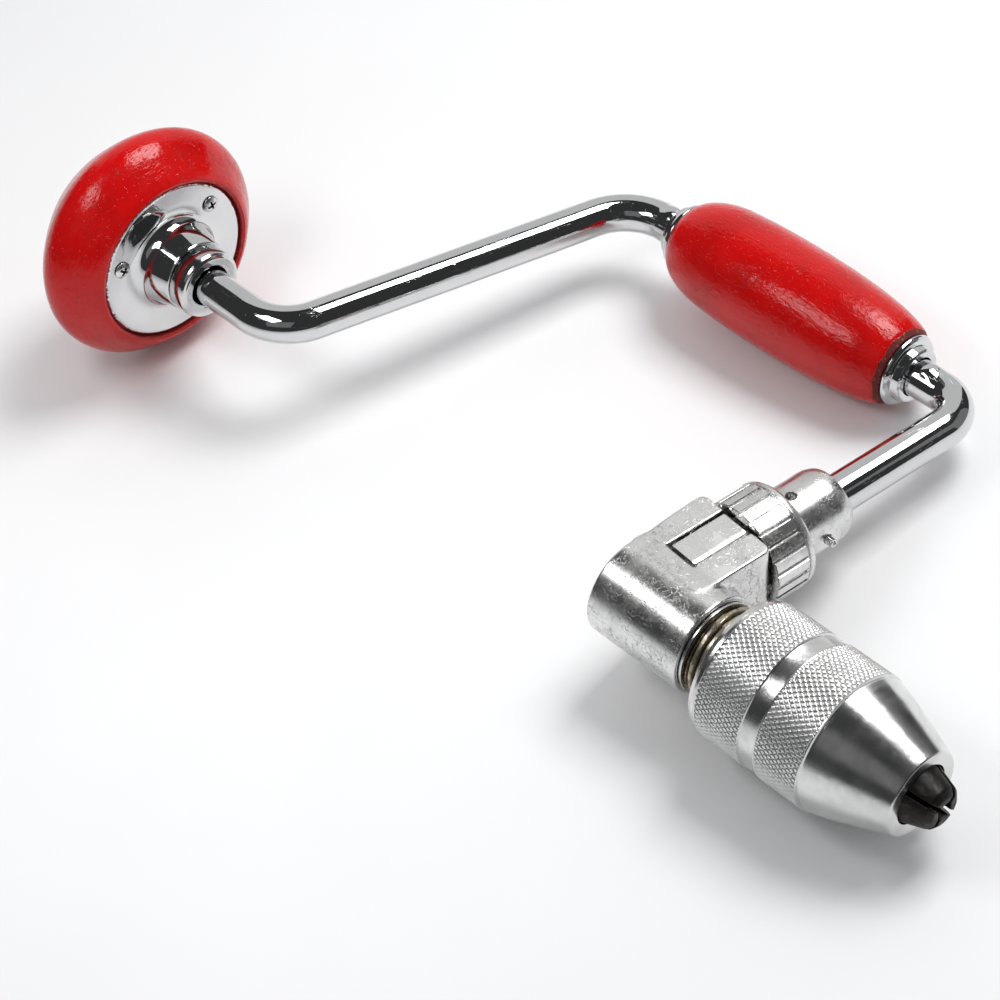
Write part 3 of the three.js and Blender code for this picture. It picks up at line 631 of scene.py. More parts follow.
def bright_steel(name, on_piece=True, turned=True, bands=(), dome=None):
    """Plated steel with fine tool lines; in the knurled `bands` it is even and rougher instead.

    `dome` is the radius of a screw's rounded top: what lies under it, the recess, is coloured nearly black.
    """
    m = Look(name, on_piece)
    lines = m.noise(0.16, (1, 60, 60) if turned else (40, 1, 1), detail=3, rough=0.6)
    cloud = m.noise(7, detail=4, rough=0.6, shift=6)
    smoothest, roughest = (0.16, 0.26) if turned else (0.22, 0.32)
    rough = m.ramp(cloud, 0.3, 0.7, smoothest, roughest)
    for start, end in bands:
        along = m.parts()[0]
        outside = m.most(m.math("LESS_THAN", along, start), m.math("GREATER_THAN", along, end))
        lines = m.times(lines, outside)
        rough = m.mix_value(outside, 0.36, rough)
    speck = m.ramp(m.noise(0.45, detail=2, shift=12), 0.72, 0.77)
    speck = m.times(speck, m.ramp(m.noise(8, shift=18), 0.46, 0.62))
    colour = m.mix(m.ramp(cloud, 0.35, 0.7), STEEL_LIGHT, STEEL_DARK)
    colour = m.mix(m.times(speck, 0.8), colour, STEEL_SPECK)
    # Inside the recess the colour turns nearly black.
    if dome is not None:
        centre = m.vector("ADD", m.place, (DOME_DEPTH, 0, 0))
        reach = m.add("ShaderNodeVectorMath", operation="LENGTH")
        m.link(centre, reach.inputs[0])
        deep = m.ramp(reach.outputs["Value"], dome - 0.6, dome - 0.12, 0.92, 0.0)
        colour = m.mix(deep, colour, SCREW_RECESS)
    normal = m.bump(lines, 0.03 if turned else 0.008)
    normal = m.bump(m.noise(3.2, detail=2, shift=24), 0.04, under=normal)
    normal = m.bump(speck, -0.05, under=normal)
    return m.finish(colour, rough, normal, 1.0)


def oiled_steel(name, on_piece=True):
    """Bare steel under old brown grease."""
    m = Look(name, on_piece)
    film = m.noise(2.2, detail=5, rough=0.65)
    grime = m.ramp(m.noise(1.3, detail=4, shift=6), 0.42, 0.66)
    rim = m.noise(0.5, (1, 9, 9), detail=3, shift=16)
    colour = m.mix(m.ramp(film, 0.38, 0.66), OIL_LIGHT, OIL_DARK)
    colour = m.mix(m.times(grime, 0.45), colour, GREASE)
    if on_piece:
        # Darker towards the roots of the thread.
        root = m.ramp(m.radius(), 13.5, 14.6, 0.9, 0.0)
        colour = m.mix(root, colour, THREAD_ROOT)
    rough = m.ramp(film, 0.3, 0.7, 0.22, 0.4)
    normal = m.bump(rim, 0.02)
    normal = m.bump(grime, 0.02, under=normal)
    return m.finish(colour, rough, normal, 0.9)


def black_steel(name, on_piece=True):
    """Black-oxide steel, rubbed a little lighter in places."""
    m = Look(name, on_piece)
    rub = m.ramp(m.noise(3.0, (2, 1, 1), detail=5, rough=0.65), 0.50, 0.72)
    lines = m.noise(0.3, (8, 1, 1), detail=3, shift=4)
    colour = m.mix(m.times(rub, 0.65), OXIDE, RUBBED)
    rough = m.ramp(m.noise(2.0, shift=9), 0.3, 0.7, 0.34, 0.52)
    normal = m.bump(lines, 0.02)
    normal = m.bump(m.noise(0.7, detail=3, shift=15), 0.03, under=normal)
    return m.finish(colour, rough, normal, 0.75)


LACQUER_HEAD = lacquer("lacquer_head", "head")
LACQUER_GRIP = lacquer("lacquer_grip", "grip")
CHROME = chrome("chrome_bar")
CHROME_PLATE = chrome("chrome_head_plate", paint_radius=27.3)
CHROME_FERRULE = chrome("chrome_ferrule", paint_along=207.0)
CAST = cast_plate("plated_casting")
CAST_SMOOTH = cast_plate("plated_casting_smooth", pits=0.45)
# The knurled bands of the sleeve, and the sphere that a plate screw's head is turned to.
BANDS = ((259.3, 275.3), (281.8, 297.0))
DOME_DEPTH, DOME_R = 2.5, 4.12
STEEL = bright_steel("turned_steel")
STEEL_SLEEVE = bright_steel("turned_steel_sleeve", bands=BANDS)
NICKEL = bright_steel("nickel_screw", turned=False, dome=DOME_R)
PIN_STEEL = bright_steel("pin_steel", turned=False)
OILED = oiled_steel("oiled_steel")
BLACK = black_steel("black_steel")
INNER = {
    "chrome_plate": chrome("chrome_inner", False), "cast_chrome": cast_plate("casting_inner", 0.5, False),
    "bright_steel": bright_steel("steel_inner", False), "oiled_steel": oiled_steel("oiled_inner", False),
    "black_steel": black_steel("black_inner", False),
}


# --- head ---
def ring_cut(x0, x1, radius, y, z, segs=32):
    verts, quads, tris = lathe([[x0, 0], [x0, radius], [x1, radius], [x1, 0]], segs)
    return verts + np.array([0, y, z]), quads, tris


SCREW_CIRCLE_R = 22
SCREW_HOLE_R = 1.8
SCREW_PLACES = [(SCREW_CIRCLE_R * math.cos(math.radians(a)), SCREW_CIRCLE_R * math.sin(math.radians(a)))
                for a in (38.6, 158.6, 278.6)]
CROSS_TURNS = np.radians([12.0, 50.0, 77.0])


def hand_turned(amount, seed):
    """Slow waves and small runs in thick lacquer."""
    def offset(x, theta, r):
        theta = np.broadcast_to(theta, x.shape)
        p = np.stack([x, r * np.cos(theta), r * np.sin(theta)], -1).reshape(-1, 3)
        push = noise3(p, 17, seed) * 0.55 + noise3(p, 8, seed + 1) * 0.3 + noise3(p, 3.5, seed + 2) * 0.15
        blister = np.clip(noise3(p, 4.2, seed + 3) - 0.62, 0, 1) * 1.2
        return (amount * (push + blister)).reshape(x.shape)
    return offset


knob_outer = spline([
    [-44.2, 0], [-43.8, 6], [-42.6, 11.5], [-40.6, 16.6], [-37.6, 21.4], [-33.3, 26.4], [-28.5, 31.3],
    [-23.5, 35.8], [-19.5, 38.9], [-15.6, 40.6], [-11.5, 40.3], [-7.6, 38.2], [-3.9, 35], [-1, 32.3],
    [0.3, 30.7]], 0.8)
knob_inner = fillet([
    [0.3, 30.7], [0.9, 29.6], [0.5, 28.4], [-1.7, 28.4], [-1.7, 10.4], [-9.4, 10.4], [-9.4, 0]], 0.35)
SEAT_R = 29.8
knob_waves = hand_turned(0.13, 5)


def knob_skin(x, theta, r):
    """Waves only where the radius is past the plate's seat."""
    return np.where(r > SEAT_R, knob_waves(x, theta, r), 0) * smooth(SEAT_R, 33, r + 6 * (x < -20))


knob = mesh_object("head_knob", *lathe(
    np.vstack([knob_outer, dense(knob_inner, 1.5)[1:]]), 256, offset=knob_skin))
carve(knob, *[ring_cut(-15, 3, SCREW_HOLE_R, y, z) for y, z in SCREW_PLACES])
place(knob, "head_wood", "head", "lacquered_wood", LACQUER_HEAD)

plate_fairing = spline([
    [0, 27.0], [0, 22], [0.02, 19.4], [0.35, 17.4], [1.1, 15.9], [2.2, 15.0], [3.6, 14.45], [5.5, 13.94],
    [8.6, 13.09], [11.7, 12.25]], 0.35)
plate_rear = fillet([
    [11.7, 12.25], [12, 12.0], [12, 7.2], [10.2, 7.2], [10.2, 10.4], [-1.1, 10.4], [-1.4, 10.7], [-1.4, 27.6],
    [-0.5, 27.9], [0, 27.0]], 0.25)
plate_profile = np.vstack([plate_fairing, dense(plate_rear, 1.2)[1:-1]])
plate = mesh_object("head_plate_dish", *lathe(plate_profile, 192, closed=True))
carve(plate, *[ring_cut(-3, 3, SCREW_HOLE_R, y, z) for y, z in SCREW_PLACES])
place(plate, "head_plate", "head", "chrome_plate", CHROME_PLATE)

neck_profile = fillet([
    [12.3, 7.2], [12.3, 11.4], [12.7, 11.85], [18.0, 11.8], [18.9, 11.35], [19.2, 10.7], [19.6, 10.4],
    [19.6, 8.0], [19.0, 7.2]], 0.3, closed=True, steps=4)
neck = mesh_object("head_neck_collar", *lathe(neck_profile, 160, closed=True))
place(neck, "head_neck_ring", "head", "chrome_plate", CHROME)


def screw_shape(p):
    x, radial = p[:, 0], np.hypot(p[:, 1], p[:, 2])
    dome = np.hypot(x + DOME_DEPTH, radial) - DOME_R
    head = both(rod(x, radial, 0.3, 1.65, 3.25, 0.2), dome, 0.2)
    shank = rod(x, radial, -13, 0.8, 1.5, 0.1)
    point = radial - 0.45 * (x + 13) - 0.3
    depth = (1.75 - x) * 0.42
    cross = join(box(p, [0.2, -1.9, -0.42], [3, 1.9, 0.42]), box(p, [0.2, -0.42, -1.9], [3, 0.42, 1.9]))
    cross = both(cross, np.maximum(np.abs(p[:, 1]), np.abs(p[:, 2])) - 1.95 + depth)
    return less(join(head, both(shank, point)), join(cross, rod(x, radial, 0.5, 3, 0.62)), 0.08)


screw_mesh = net(screw_shape, [-13.4, -3.4, -3.4], [2.0, 3.4, 3.4], 0.12)
for i, (y, z) in enumerate(SCREW_PLACES):
    c, s = math.cos(CROSS_TURNS[i]), math.sin(CROSS_TURNS[i])
    verts = screw_mesh[0] @ np.array([[1, 0, 0], [0, c, s], [0, -s, c]]) + [0, y, z]
    screw = mesh_object(f"plate_screw_{i + 1}", verts, *screw_mesh[1:])
    place(screw, f"head_screw_{i + 1}", "head", "bright_steel", NICKEL, centre=(0, y, z))

# --- crank ---
BAR_R = 6.35
BEND_CORNERS = [[-2.6, 0], [53, 0], [89, GRIP_Y], [235, GRIP_Y], list((ARM_FOOT + ARM_S * 14.9)[:2])]
BEND_RADII = [18, 20.5, 11.8]
LUG_XS = (106.4, 217.6)
LUG_SWELL = 0.75


def crank_line(step=0.6):
    """The bar's middle line in even steps, with its bends as true arcs, and the length run so far."""
    corners = [np.array(c, float) for c in BEND_CORNERS]
    line = [corners[0]]
    for i, radius in enumerate(BEND_RADII):
        inward, onward = unit(corners[i + 1] - corners[i]), unit(corners[i + 2] - corners[i + 1])
        turn = math.acos(float(inward @ onward))
        side = math.copysign(1, inward[0] * onward[1] - inward[1] * onward[0])
        start = corners[i + 1] - inward * radius * math.tan(turn / 2)
        centre = start + side * radius * np.array([-inward[1], inward[0]])
        for k in range(41):
            angle = side * turn * k / 40
            c, s = math.cos(angle), math.sin(angle)
            d = start - centre
            line.append(centre + np.array([c * d[0] - s * d[1], s * d[0] + c * d[1]]))
    line.append(corners[-1])
    line = np.array(line)
    length = np.concatenate([[0], np.cumsum(np.linalg.norm(np.diff(line, axis=0), axis=1))])
    even = np.linspace(0, length[-1], int(length[-1] / step) + 1)
    return np.stack([np.interp(even, length, line[:, i]) for i in range(2)], 1), even


line, length = crank_line()
tangent = np.gradient(line, axis=0)
tangent /= np.linalg.norm(tangent, axis=1)[:, None]

SIDES = 72
phi = 2 * math.pi * np.arange(SIDES) / SIDES
side_dir = np.stack([-tangent[:, 1], tangent[:, 0]], 1)
radius = np.full((len(line), SIDES), BAR_R)
on_grip = np.abs(line[:, 1] - GRIP_Y) < 0.5
for lug_x in LUG_XS:
    near = np.where(on_grip, np.abs(line[:, 0] - lug_x), np.inf)[:, None]
    up = np.abs(np.sin(phi))[None, :]
    swell = (1 - smooth(0.2, 4.2, near)) * smooth(0.76, 1.0, up)
    radius = radius + LUG_SWELL * swell
verts = np.empty((len(line), SIDES, 3))
verts[..., :2] = line[:, None, :] + radius[..., None] * np.cos(phi)[None, :, None] * side_dir[:, None, :]
verts[..., 2] = radius * np.sin(phi)
local = np.stack([np.repeat(length[:, None], SIDES, 1), radius * np.cos(phi), radius * np.sin(phi)], -1)
n = len(line)
i, j = np.meshgrid(np.arange(n - 1), np.arange(SIDES), indexing="ij")
i, j = i.ravel(), j.ravel()
k = (j + 1) % SIDES
quads = np.stack([i * SIDES + j, i * SIDES + k, (i + 1) * SIDES + k, (i + 1) * SIDES + j], 1)
flat, flat_local = verts.reshape(-1, 3), local.reshape(-1, 3)
caps = []
for row in (0, n - 1):
    centre = np.array([[line[row, 0], line[row, 1], 0.0]])
    flat = np.vstack([flat, centre])
    flat_local = np.vstack([flat_local, [[length[row], 0, 0]]])
    a = row * SIDES + np.arange(SIDES)
    b = row * SIDES + (np.arange(SIDES) + 1) % SIDES
    tip = np.full(SIDES, len(flat) - 1)
    caps.append(np.stack([tip, a, b] if row == 0 else [tip, b, a], 1))
crank = mesh_object("crank_rod", flat, *outward(flat, quads, np.vstack(caps)))
place(crank, "crank_bar", "crank", "chrome_plate", CHROME, local=flat_local)

# --- sweep grip ---
grip_outer = spline([
    [114.6, 11.3], [115.6, 12.5], [118.4, 14.5], [123, 16.4], [129, 17.7], [138, 18.4], [148, 18.8],
    [158, 18.9], [167, 18.8], [177, 18.4], [187, 17.6], [196, 16.4], [202, 15], [205.3, 13.8]], 0.8)
grip_inner = fillet([
    [205.3, 13.8], [205.8, 13.3], [207.5, 12.3], [207.5, 9], [198.6, 9], [198.6, 7], [122.4, 7], [122.4, 9],
    [114.6, 9], [114.6, 11.3]], 0.3)
grip_waves = hand_turned(0.10, 31)
grip = mesh_object("grip_handle", *lathe(
    np.vstack([grip_outer, dense(grip_inner, 2.5)[1:-1]]), 224, closed=True,
    offset=lambda x, t, r: grip_waves(x, t, r) * smooth(12.2, 13.4, r)))
shift = np.array([0, GRIP_Y, 0])
grip.data.transform(Matrix.Translation(shift))
place(grip, "grip_wood", "grip", "lacquered_wood", LACQUER_GRIP, centre=shift)


def dented(x, theta, r):
    """A flange knocked slightly out of round."""
    return 0.10 * np.sin(7 * theta + 1.3) * np.sin(3 * theta) * smooth(10.5, 11.6, r)


for name, node, profile, look in (
    ("ferrule_rear", "grip_ferrule_upper", [
        [109.8, 6.75], [109.8, 8.4], [110.4, 9], [112.4, 9], [112.4, 10.4], [113.2, 11], [114.3, 11],
        [114.3, 8.7], [122, 8.7], [122, 6.75]], CHROME),
    ("ferrule_front", "grip_ferrule_lower", [
        [199, 6.75], [199, 8.7], [207.8, 8.7], [207.8, 11.9], [208.3, 12.3], [209.0, 12.1], [209.7, 11.3],
        [209.9, 9.7], [212.4, 9.4], [213, 8.8], [213, 6.75]], CHROME_FERRULE),
):
    rounded = fillet(profile, 0.28, closed=True, steps=4)
    obj = mesh_object(name, *lathe(rounded, 160, closed=True, offset=dented))
    obj.data.transform(Matrix.Translation(shift))
    place(obj, node, "grip", "chrome_plate", look, centre=shift)


# --- arm collar, its pin and the selector ring ---
ARM_BORE_R = 6.65
COLLAR_R = 11.85
COLLAR_HOLE_S = 51.2
PIN_S = 55.6


def collar_shape(q):
    a, s, z = q[:, 0], q[:, 1], q[:, 2]
    radial = np.hypot(a, z)
    body = rod(s, radial, 47.4, 67.4, COLLAR_R, 0.35)
    body = both(body, (radial - COLLAR_R + (s - 64.6) * 0.55) * 0.87, 1.2)
    body = less(body, radial - ARM_BORE_R, 0.3)
    body = less(body, np.where(z > 0, np.hypot(a, s - COLLAR_HOLE_S) - 1.7, 9), 0.25)
    body = less(body, np.hypot(s - PIN_S, z) - 1.6, 0.15)
    return less(body, rod(s, np.hypot(a + 9.2, z), 44, 53.4, 1.6))


collar = arm_object("arm_collar_sleeve", *net(collar_shape, [-12.4, 47.0, -12.4], [12.4, 67.9, 12.4], 0.28))
place(collar, "arm_collar", "crank", "cast_chrome", CAST_SMOOTH, arm=True)


def pin_shape(q):
    a, s, z = q[:, 0], q[:, 1] - PIN_S, q[:, 2]
    radial = np.hypot(s, z)
    body = less(rod(a, radial, -11.8, 14.6, 1.4, 0.3), radial - 0.62, 0.08)
    return less(body, box(np.stack([a, s, z], 1), [-20, -0.2, 0], [20, 0.2, 3]), 0.05)


pin = arm_object("collar_roll_pin", *net(pin_shape, [-12.2, 53.9, -1.7], [15.0, 57.3, 1.7], 0.14))
place(pin, "collar_pin", "crank", "bright_steel", PIN_STEEL, arm=True)

RIBS = 24
RING_R = 17.4
FLUTE_DEPTH = 1.0
FLUTES_END = 43.25
ring_outer = dense(fillet([
    [31.2, 14.6], [31.2, 17.15], [31.45, RING_R], [43.2, RING_R]], 0.15), 0.45)
ring_rest = fillet([
    [43.2, RING_R], [43.4, 16.7], [43.8, 16.7], [44.0, 17.35], [45.6, 17.1], [46.5, 16.4], [47, 15.4],
    [47, 6.75], [44, 6.75], [44, 11.3], [42, 11.3], [42, 14.6], [31.2, 14.6]], 0.3)


def fluted(verts):
    """Straight flutes: the radius is held down between the ribs, as a cutter leaves it."""
    radial = np.hypot(verts[:, 1], verts[:, 2])
    part = (np.arctan2(verts[:, 2], verts[:, 1]) * RIBS / (2 * math.pi)) % 1.0
    rib = smooth(0.08, 0.15, part) - smooth(0.85, 0.92, part)
    floor_r = RING_R - FLUTE_DEPTH * (1 - rib)
    held = np.minimum(radial, floor_r + 0.03 * np.maximum(radial - floor_r, 0))
    held = np.where(verts[:, 0] < FLUTES_END, held, radial)
    return verts * np.stack([np.ones(len(verts)), held / radial, held / radial], 1)


verts, quads, tris = lathe(np.vstack([ring_outer, ring_rest[1:-1]]), RIBS * 24, closed=True)
ring = arm_object("selector_sleeve", fluted(verts)[:, [1, 0, 2]] * [-1, 1, 1], quads, tris)
place(ring, "selector_ring", "selector", "cast_chrome", CAST_SMOOTH, arm=True, edge=32)


# --- ratchet body ---
PIVOT_S, PIVOT_Z = 19, 11.9
PIVOT_HOLE_R = 1.7


def casting_shape(p):
    x, radial = p[:, 0], np.hypot(p[:, 1], p[:, 2])
    q = tool_to_arm(p)
    a, s, z = q[:, 0], q[:, 1], q[:, 2]
    arm_radial = np.hypot(a, z)
    barrel = rod(x, radial, 210.6, 245.7, 16.2, 0.55)
    flank = plane_pair(np.abs(a) - 15, np.abs(s - 16.15) - 14.15, 2.6)
    block = plane_pair(flank, np.abs(z) - 15.2, 0.8)
    block = both(block, np.abs(x - 228.15) - 17.55, 0.9)
    body = join(barrel, block, 2.2)
    boss = both(rod(s, arm_radial, 26, 43.6, 11, 0.5), np.where(s > 30, np.abs(z) - 9.1, -5), 0.6)
    body = join(body, boss, 0.8)
    body = less(body, rod(x, radial, 200, 235.5, 13.9), 0.3)
    body = less(body, radial - 10.1, 0.3)
    body = less(body, rod(s, arm_radial, 10, 50, ARM_BORE_R), 0.3)
    slot_box = plane_pair(np.abs(a) - 6.1, np.abs(s - 20.7) - 12.6, 0.7)
    body = less(body, np.maximum(slot_box, 8.6 - np.abs(z)), 0.4)
    hole = rod(a, np.hypot(s - PIVOT_S, np.abs(z) - PIVOT_Z), -10.3, 10.3, PIVOT_HOLE_R)
    return less(body, hole)


casting_low, casting_high = [209.9, -16.9, -16.9], [246.4, 45.2, 16.9]
casting = mesh_object("ratchet_casting", *net(casting_shape, casting_low, casting_high, 0.36))
place(casting, "ratchet_body", "crank", "cast_chrome", CAST, arm=True, edge=60)

cap_profile = fillet([[211, 5.2], [211, 13.2], [211.4, 13.6], [212.8, 13.6], [212.8, 5.2]], 0.25, closed=True)
cap = mesh_object("ratchet_rear_cap", *lathe(dense(cap_profile, 0.8), 128, closed=True))
place(cap, "rear_cap", "crank", "cast_chrome", CAST_SMOOTH)

PAWL_OUTLINE = [
    [9.5, 14.95], [9.5, 10.3], [9.9, 9.6], [12.6, 11.2], [15.6, 9.6], [22.2, 9.6], [24, 11.4], [30.6, 12],
    [35.6, 12.1], [35.6, 13.7], [30.6, 13.9], [29.4, 14.95]]


def pawl_shape(q):
    a, s, z = q[:, 0], q[:, 1], q[:, 2]
    flat_part = outline(s, z, PAWL_OUTLINE)
    body = plane_pair(flat_part, np.where(a > 0, a - 5.75, -a - 5.15), 0.5)
    body = both(body, (a + (z - 14.95) - 5.75 + 1.1) * 0.7071, 0.9)
    body = both(body, np.where(s > 30.3, np.abs(a) - 2.6, -3.0), 0.2)
    return less(body, np.hypot(s - PIVOT_S, z - PIVOT_Z) - PIVOT_HOLE_R)


# In the rest pose the lower pawl is tipped by its 7 degrees and the upper one isn't.
pawl_mesh = net(pawl_shape, [-6.1, 8.9, 9.0], [6.3, 36.1, 15.4], 0.2)
for name, node, body_name, flip, lift in (
    ("pawl_upper", "pawl_top", "pawl_top", 1, 0.0), ("pawl_lower", "pawl_bottom", "pawl_bottom", -1, 7.0)):
    v = pawl_mesh[0].copy()
    c, s = math.cos(math.radians(-lift)), math.sin(math.radians(-lift))
    ds, dz = v[:, 1] - PIVOT_S, v[:, 2] - PIVOT_Z
    v[:, 1], v[:, 2] = PIVOT_S + c * ds - s * dz, PIVOT_Z + s * ds + c * dz
    v[:, 2] *= flip
    obj = arm_object(name, v, *pawl_mesh[1:])
    place(obj, node, body_name, "cast_chrome", CAST_SMOOTH, arm=True)

# --- chuck ---
PITCH = 2.5
THREAD_START = 247.8
THREAD_DEPTH = 1.3


def thread_ridge(x, theta, r):
    part = ((x - THREAD_START) / PITCH - theta / (2 * math.pi)) % 1.0
    ridge = smooth(0.02, 0.26, part) - smooth(0.62, 0.88, part)
    fade = smooth(247.4, 248.6, x)
    cut = -THREAD_DEPTH * (1 - ridge * fade) * (1 - smooth(262.4, 263.2, x))
    return np.where((x > 247.3) & (x < 263.4) & (r > 13.3), cut, 0)


spindle_profile = np.vstack([
    fillet([[210.9, 0], [210.9, 4.9], [213.2, 4.9], [213.2, 8.4], [234.8, 8.4], [234.8, 9.8], [247.2, 9.8],
            [247.2, 14.8]], 0.2)[:-1],
    dense([[247.2, 14.8], [263.5, 14.8]], 0.16),
    fillet([[263.5, 14.8], [287.6, 14.8], [288.1, 14.3], [288.1, 0]], 0.2)[1:]])
spindle = mesh_object("chuck_screw_spindle", *lathe(spindle_profile, 144, offset=thread_ridge))


def block_mesh(low, high, quarter=0):
    (x0, y0, z0), (x1, y1, z1) = low, high
    corners = np.array([[x, y, z] for x in (x0, x1) for y in (y0, y1) for z in (z0, z1)], float)
    v = quarter_turns(corners, quarter)
    q = np.array([[0, 1, 3, 2], [4, 6, 7, 5], [0, 4, 5, 1], [2, 3, 7, 6], [0, 2, 6, 4], [1, 5, 7, 3]])
    return (v, *outward(v, q, NO_TRIS))


carve(spindle, block_mesh([276, -3.5, -3.5], [300, 3.5, 3.5]),
      *[block_mesh([284.2, -2.3, 0], [300, 2.3, 20], k) for k in range(4)],
      ring_cut(208, 222, 2.5, 0, 0))
place(spindle, "chuck_spindle", "spindle", "oiled_steel", OILED)

DIAMONDS = 76
SLEEVE_R = 22.4
KNURL_DEPTH = 0.26
KNURL_SLOPE = 0.80


def knurl(x, theta, r):
    arc = theta * DIAMONDS / (2 * math.pi)
    lead = x * DIAMONDS / (2 * math.pi * SLEEVE_R) * KNURL_SLOPE
    cut = 0
    for line_at in (arc + lead, arc - lead):
        part = np.abs((line_at % 1.0) - 0.5)
        cut = np.maximum(cut, smooth(0.33, 0.48, part))
    band = sum(smooth(a - 0.25, a + 0.2, x) * (1 - smooth(b - 0.2, b + 0.25, x)) for a, b in BANDS)
    return np.where(r > 21.8, -KNURL_DEPTH * cut * band, 0)


shell_outer = np.vstack([
    fillet([[257, 15.2], [255.6, 16.6], [255.6, 20.4], [256.3, 21.7], [257.6, 22.1], [258.7, 22.1],
            [259.0, SLEEVE_R]], 0.35)[:-1],
    dense([[259.0, SLEEVE_R], [275.6, SLEEVE_R]], 0.21),
    fillet([[275.6, SLEEVE_R], [275.9, 22.0], [281.1, 22.0], [281.5, 22.5]], 0.2)[1:-1],
    dense([[281.5, 22.5], [297.4, 22.5]], 0.21),
    dense(fillet([[297.4, 22.5], [297.7, 21.95], [298.4, 21.9], [300.5, 21.4], [306, 19.8], [314, 16.9],
                  [322.2, 13.75], [322.6, 13.45], [322.6, 9.6], [322.0, 9.6], [321.8, 10.5]], 0.15), 0.8)[1:],
    dense([[321.8, 10.5], [297.37, 18.4]], 2)[1:],
    fillet([[297.37, 18.4], [280.4, 18.4], [280.4, 15.2], [268.3, 15.2], [268.3, 18.4], [261.7, 18.4],
            [261.7, 15.2], [257, 15.2]], 0.2)[1:-1]])
shell = mesh_object("chuck_sleeve", *lathe(shell_outer, DIAMONDS * 10, closed=True, offset=knurl))
place(shell, "chuck_shell", "shell", "bright_steel", STEEL_SLEEVE)

washer = fillet([[246, 10.1], [246, 14.8], [246.9, 14.8], [246.9, 10.1]], 0.15, closed=True)
obj = mesh_object("spindle_thrust_washer", *lathe(washer, 128, closed=True))
place(obj, "thrust_washer", "spindle", "bright_steel", STEEL)

screw_profile = fillet([
    [208.9, 0], [208.9, 5.4], [209.4, 6.8], [210.6, 6.8], [210.6, 2.2], [221.4, 2.2], [221.4, 0]], 0.3)
obj = mesh_object("spindle_end_screw", *lathe(dense(screw_profile, 0.7), 96))
carve(obj, block_mesh([208.0, -6.2, -0.7], [209.7, 6.2, 0.7]))
place(obj, "spindle_screw", "spindle", "bright_steel", STEEL)


def jaw_shape(p):
    """The jaw whose middle faces +z."""
    x, y, z = p[:, 0], p[:, 1], p[:, 2]
    radial = np.hypot(y, z)
    cone = (radial - (9.9 + 0.325 * (322.6 - x) - 0.85 * smooth(316.5, 318.5, x))) * 0.951
    body = both(rod(x, radial, 288.4, 330.8, 15.2, 0.3), cone, 0.3)
    body = both(body, (x - 330.5 + (radial - 5.4) * 0.8) * 0.78, 0.3)
    wedge = both((0.7 * math.sqrt(2) - z + np.abs(y)) * 0.7071, 2.6 - z, 0.25)
    body = both(body, wedge, 0.35)
    body = less(body, np.maximum(radial - 4.2, x - 308))
    return join(body, box(p, [284.6, -2, 5], [288.9, 2, 12.1], 0.25), 0.1)


jaw_verts, jaw_quads, jaw_tris = net(jaw_shape, [284.2, -11.4, 0.6], [331.2, 11.4, 15.7], 0.27)
for k in range(4):
    obj = mesh_object(f"jaw_{k + 1}_ground", quarter_turns(jaw_verts, k), jaw_quads, jaw_tris)
    place(obj, f"jaw_{k + 1}", f"jaw_{k + 1}", "black_steel", BLACK)

# --- inner pieces keep their CAD shape ---
slots = {s["node"]: s["material_slot"] for s in frame["record"]["subparts"]}
for node, obj in frame["nodes"].items():
    if not obj.hide_render:
        obj.data.materials.clear()
        obj.data.materials.append(INNER[slots[node]])

# --- table, light and camera ---
scene = bpy.context.scene
scene.view_settings.view_transform = "Standard"
scene.view_settings.look = "None"

FLOOR_HALF = 6.0
FLOOR_Z = -0.0003
FLOOR_SIDES = ((-1, -1), (1, -1), (1, 1), (-1, 1))
PAPER_LIGHT, PAPER_DARK = (0.83, 0.83, 0.835), (0.80, 0.80, 0.805)
floor_corners = [(x * FLOOR_HALF, y * FLOOR_HALF, FLOOR_Z) for x, y in FLOOR_SIDES]
floor = mesh_object("table_top", floor_corners, np.array([[0, 1, 2, 3]]), NO_TRIS)
look = Look("table_paper", False)
paper = look.mix(look.noise(60, detail=2), PAPER_LIGHT, PAPER_DARK)
floor.data.materials.append(look.finish(paper, 0.55))

AWAY = unit([-0.82, 0.572, 0.0])
RIGHT = unit([0.572, 0.82, 0.0])
UP = np.array([0.0, 0.0, 1.0])

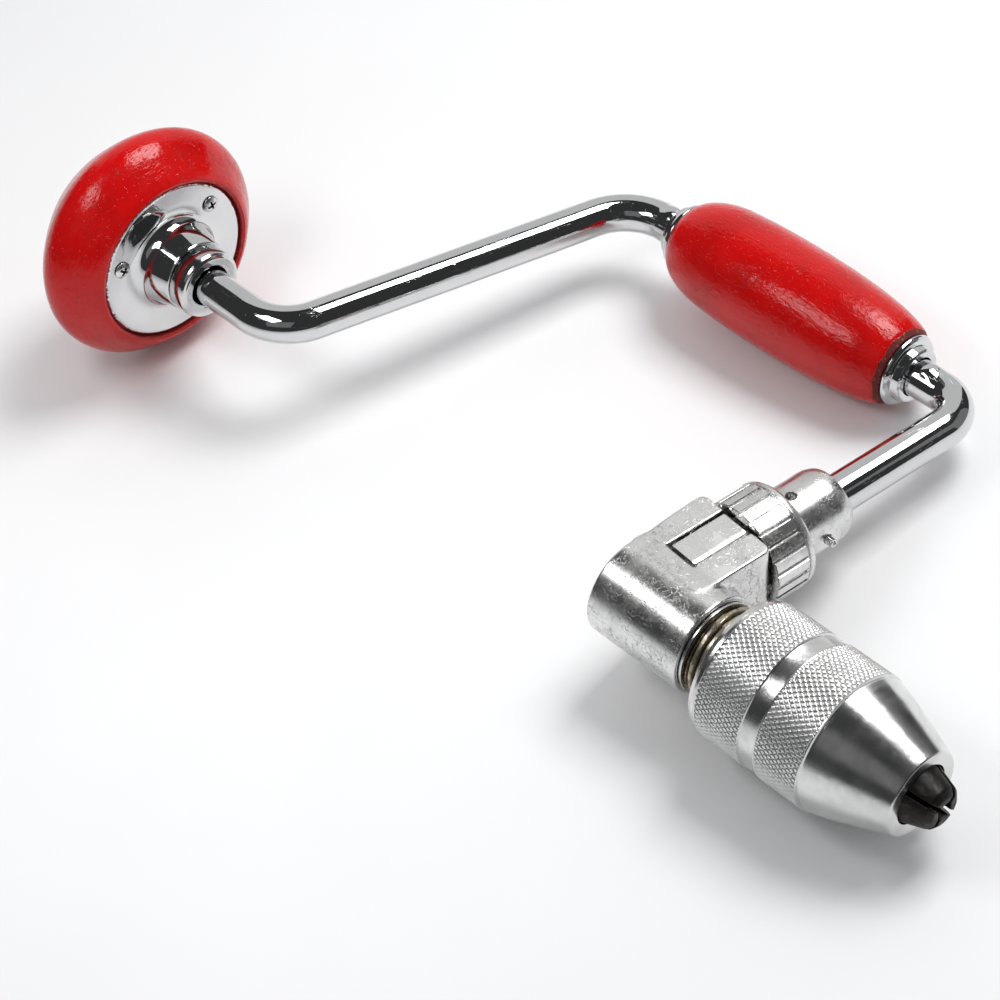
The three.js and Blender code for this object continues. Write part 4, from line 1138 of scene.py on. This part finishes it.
# The room lights matt surfaces evenly, but shows dark in the plating, as a dark studio does.
WORLD_FILL = 0.43
WORLD_GLOSS = 0.04
world = bpy.data.worlds.new("studio")
world.use_nodes = True
nodes, links = world.node_tree.nodes, world.node_tree.links
background = nodes["Background"]
background.inputs[0].default_value = (0.97, 0.985, 1.0, 1)
rays = nodes.new("ShaderNodeLightPath")
strength = nodes.new("ShaderNodeMapRange")
strength.inputs["To Min"].default_value = WORLD_GLOSS
strength.inputs["To Max"].default_value = WORLD_FILL
most = nodes.new("ShaderNodeMath")
most.operation = "MAXIMUM"
links.new(rays.outputs["Is Diffuse Ray"], most.inputs[0])
links.new(rays.outputs["Is Camera Ray"], most.inputs[1])
links.new(most.outputs[0], strength.inputs["Value"])
links.new(strength.outputs[0], background.inputs[1])
scene.world = world


AIM = Vector((0, 0, 0.03))


def area_light(name, position, width, height, radiance):
    light = bpy.data.lights.new(name, "AREA")
    light.shape, light.size, light.size_y = "RECTANGLE", width, height
    light.energy = radiance * math.pi * width * height
    obj = bpy.data.objects.new(name, light)
    obj.location = Vector(position)
    obj.rotation_mode = "QUATERNION"
    obj.rotation_quaternion = (AIM - Vector(position)).to_track_quat("-Z", "Y")
    obj.visible_camera = False
    scene.collection.objects.link(obj)


def soft_box(name, azimuth, elevation, distance, *size_and_radiance):
    """A soft light seen from the table at that azimuth (0 away from the camera, 90 to its right)."""
    a, e = math.radians(azimuth), math.radians(elevation)
    position = distance * (math.cos(e) * (math.cos(a) * AWAY + math.sin(a) * RIGHT) + math.sin(e) * UP)
    area_light(name, position, *size_and_radiance)


soft_box("key", 67, 60, 1.25, 0.60, 0.54, 10.9)
soft_box("front", -150, 42, 1.5, 0.9, 0.8, 0.14)
soft_box("wall", 10, 25, 2.2, 3.2, 2.5, 0.62)
soft_box("side", 92, 18, 2.0, 1.4, 1.2, 0.16)
area_light("near", (-0.09, -0.20, 0.35), 0.17, 0.10, 7.0)

camera_data = bpy.data.cameras.new("camera")
camera = bpy.data.objects.new("camera", camera_data)
scene.collection.objects.link(camera)
# The camera in the tool's frame: its place, and its right, up and backward directions.
CAMERA_AT = [608.308, -393.299, 589.718]
CAMERA_RIGHT = [0.685965, 0.726528, -0.040115]
CAMERA_UP = [-0.492483, 0.504158, 0.709426]
CAMERA_BACK = [0.535642, -0.466885, 0.703638]
SENSOR_MM, LENS_MM = 36.0, 100.503
rotation = Matrix((np.array([CAMERA_RIGHT, CAMERA_UP, CAMERA_BACK]) @ TOOL).T.tolist())
camera.matrix_world = Matrix.Translation(Vector(to_row([CAMERA_AT])[0])) @ rotation.to_4x4()
camera_data.sensor_width, camera_data.lens = SENSOR_MM, LENS_MM
camera_data.clip_start, camera_data.clip_end = 0.05, 50
scene.camera = camera
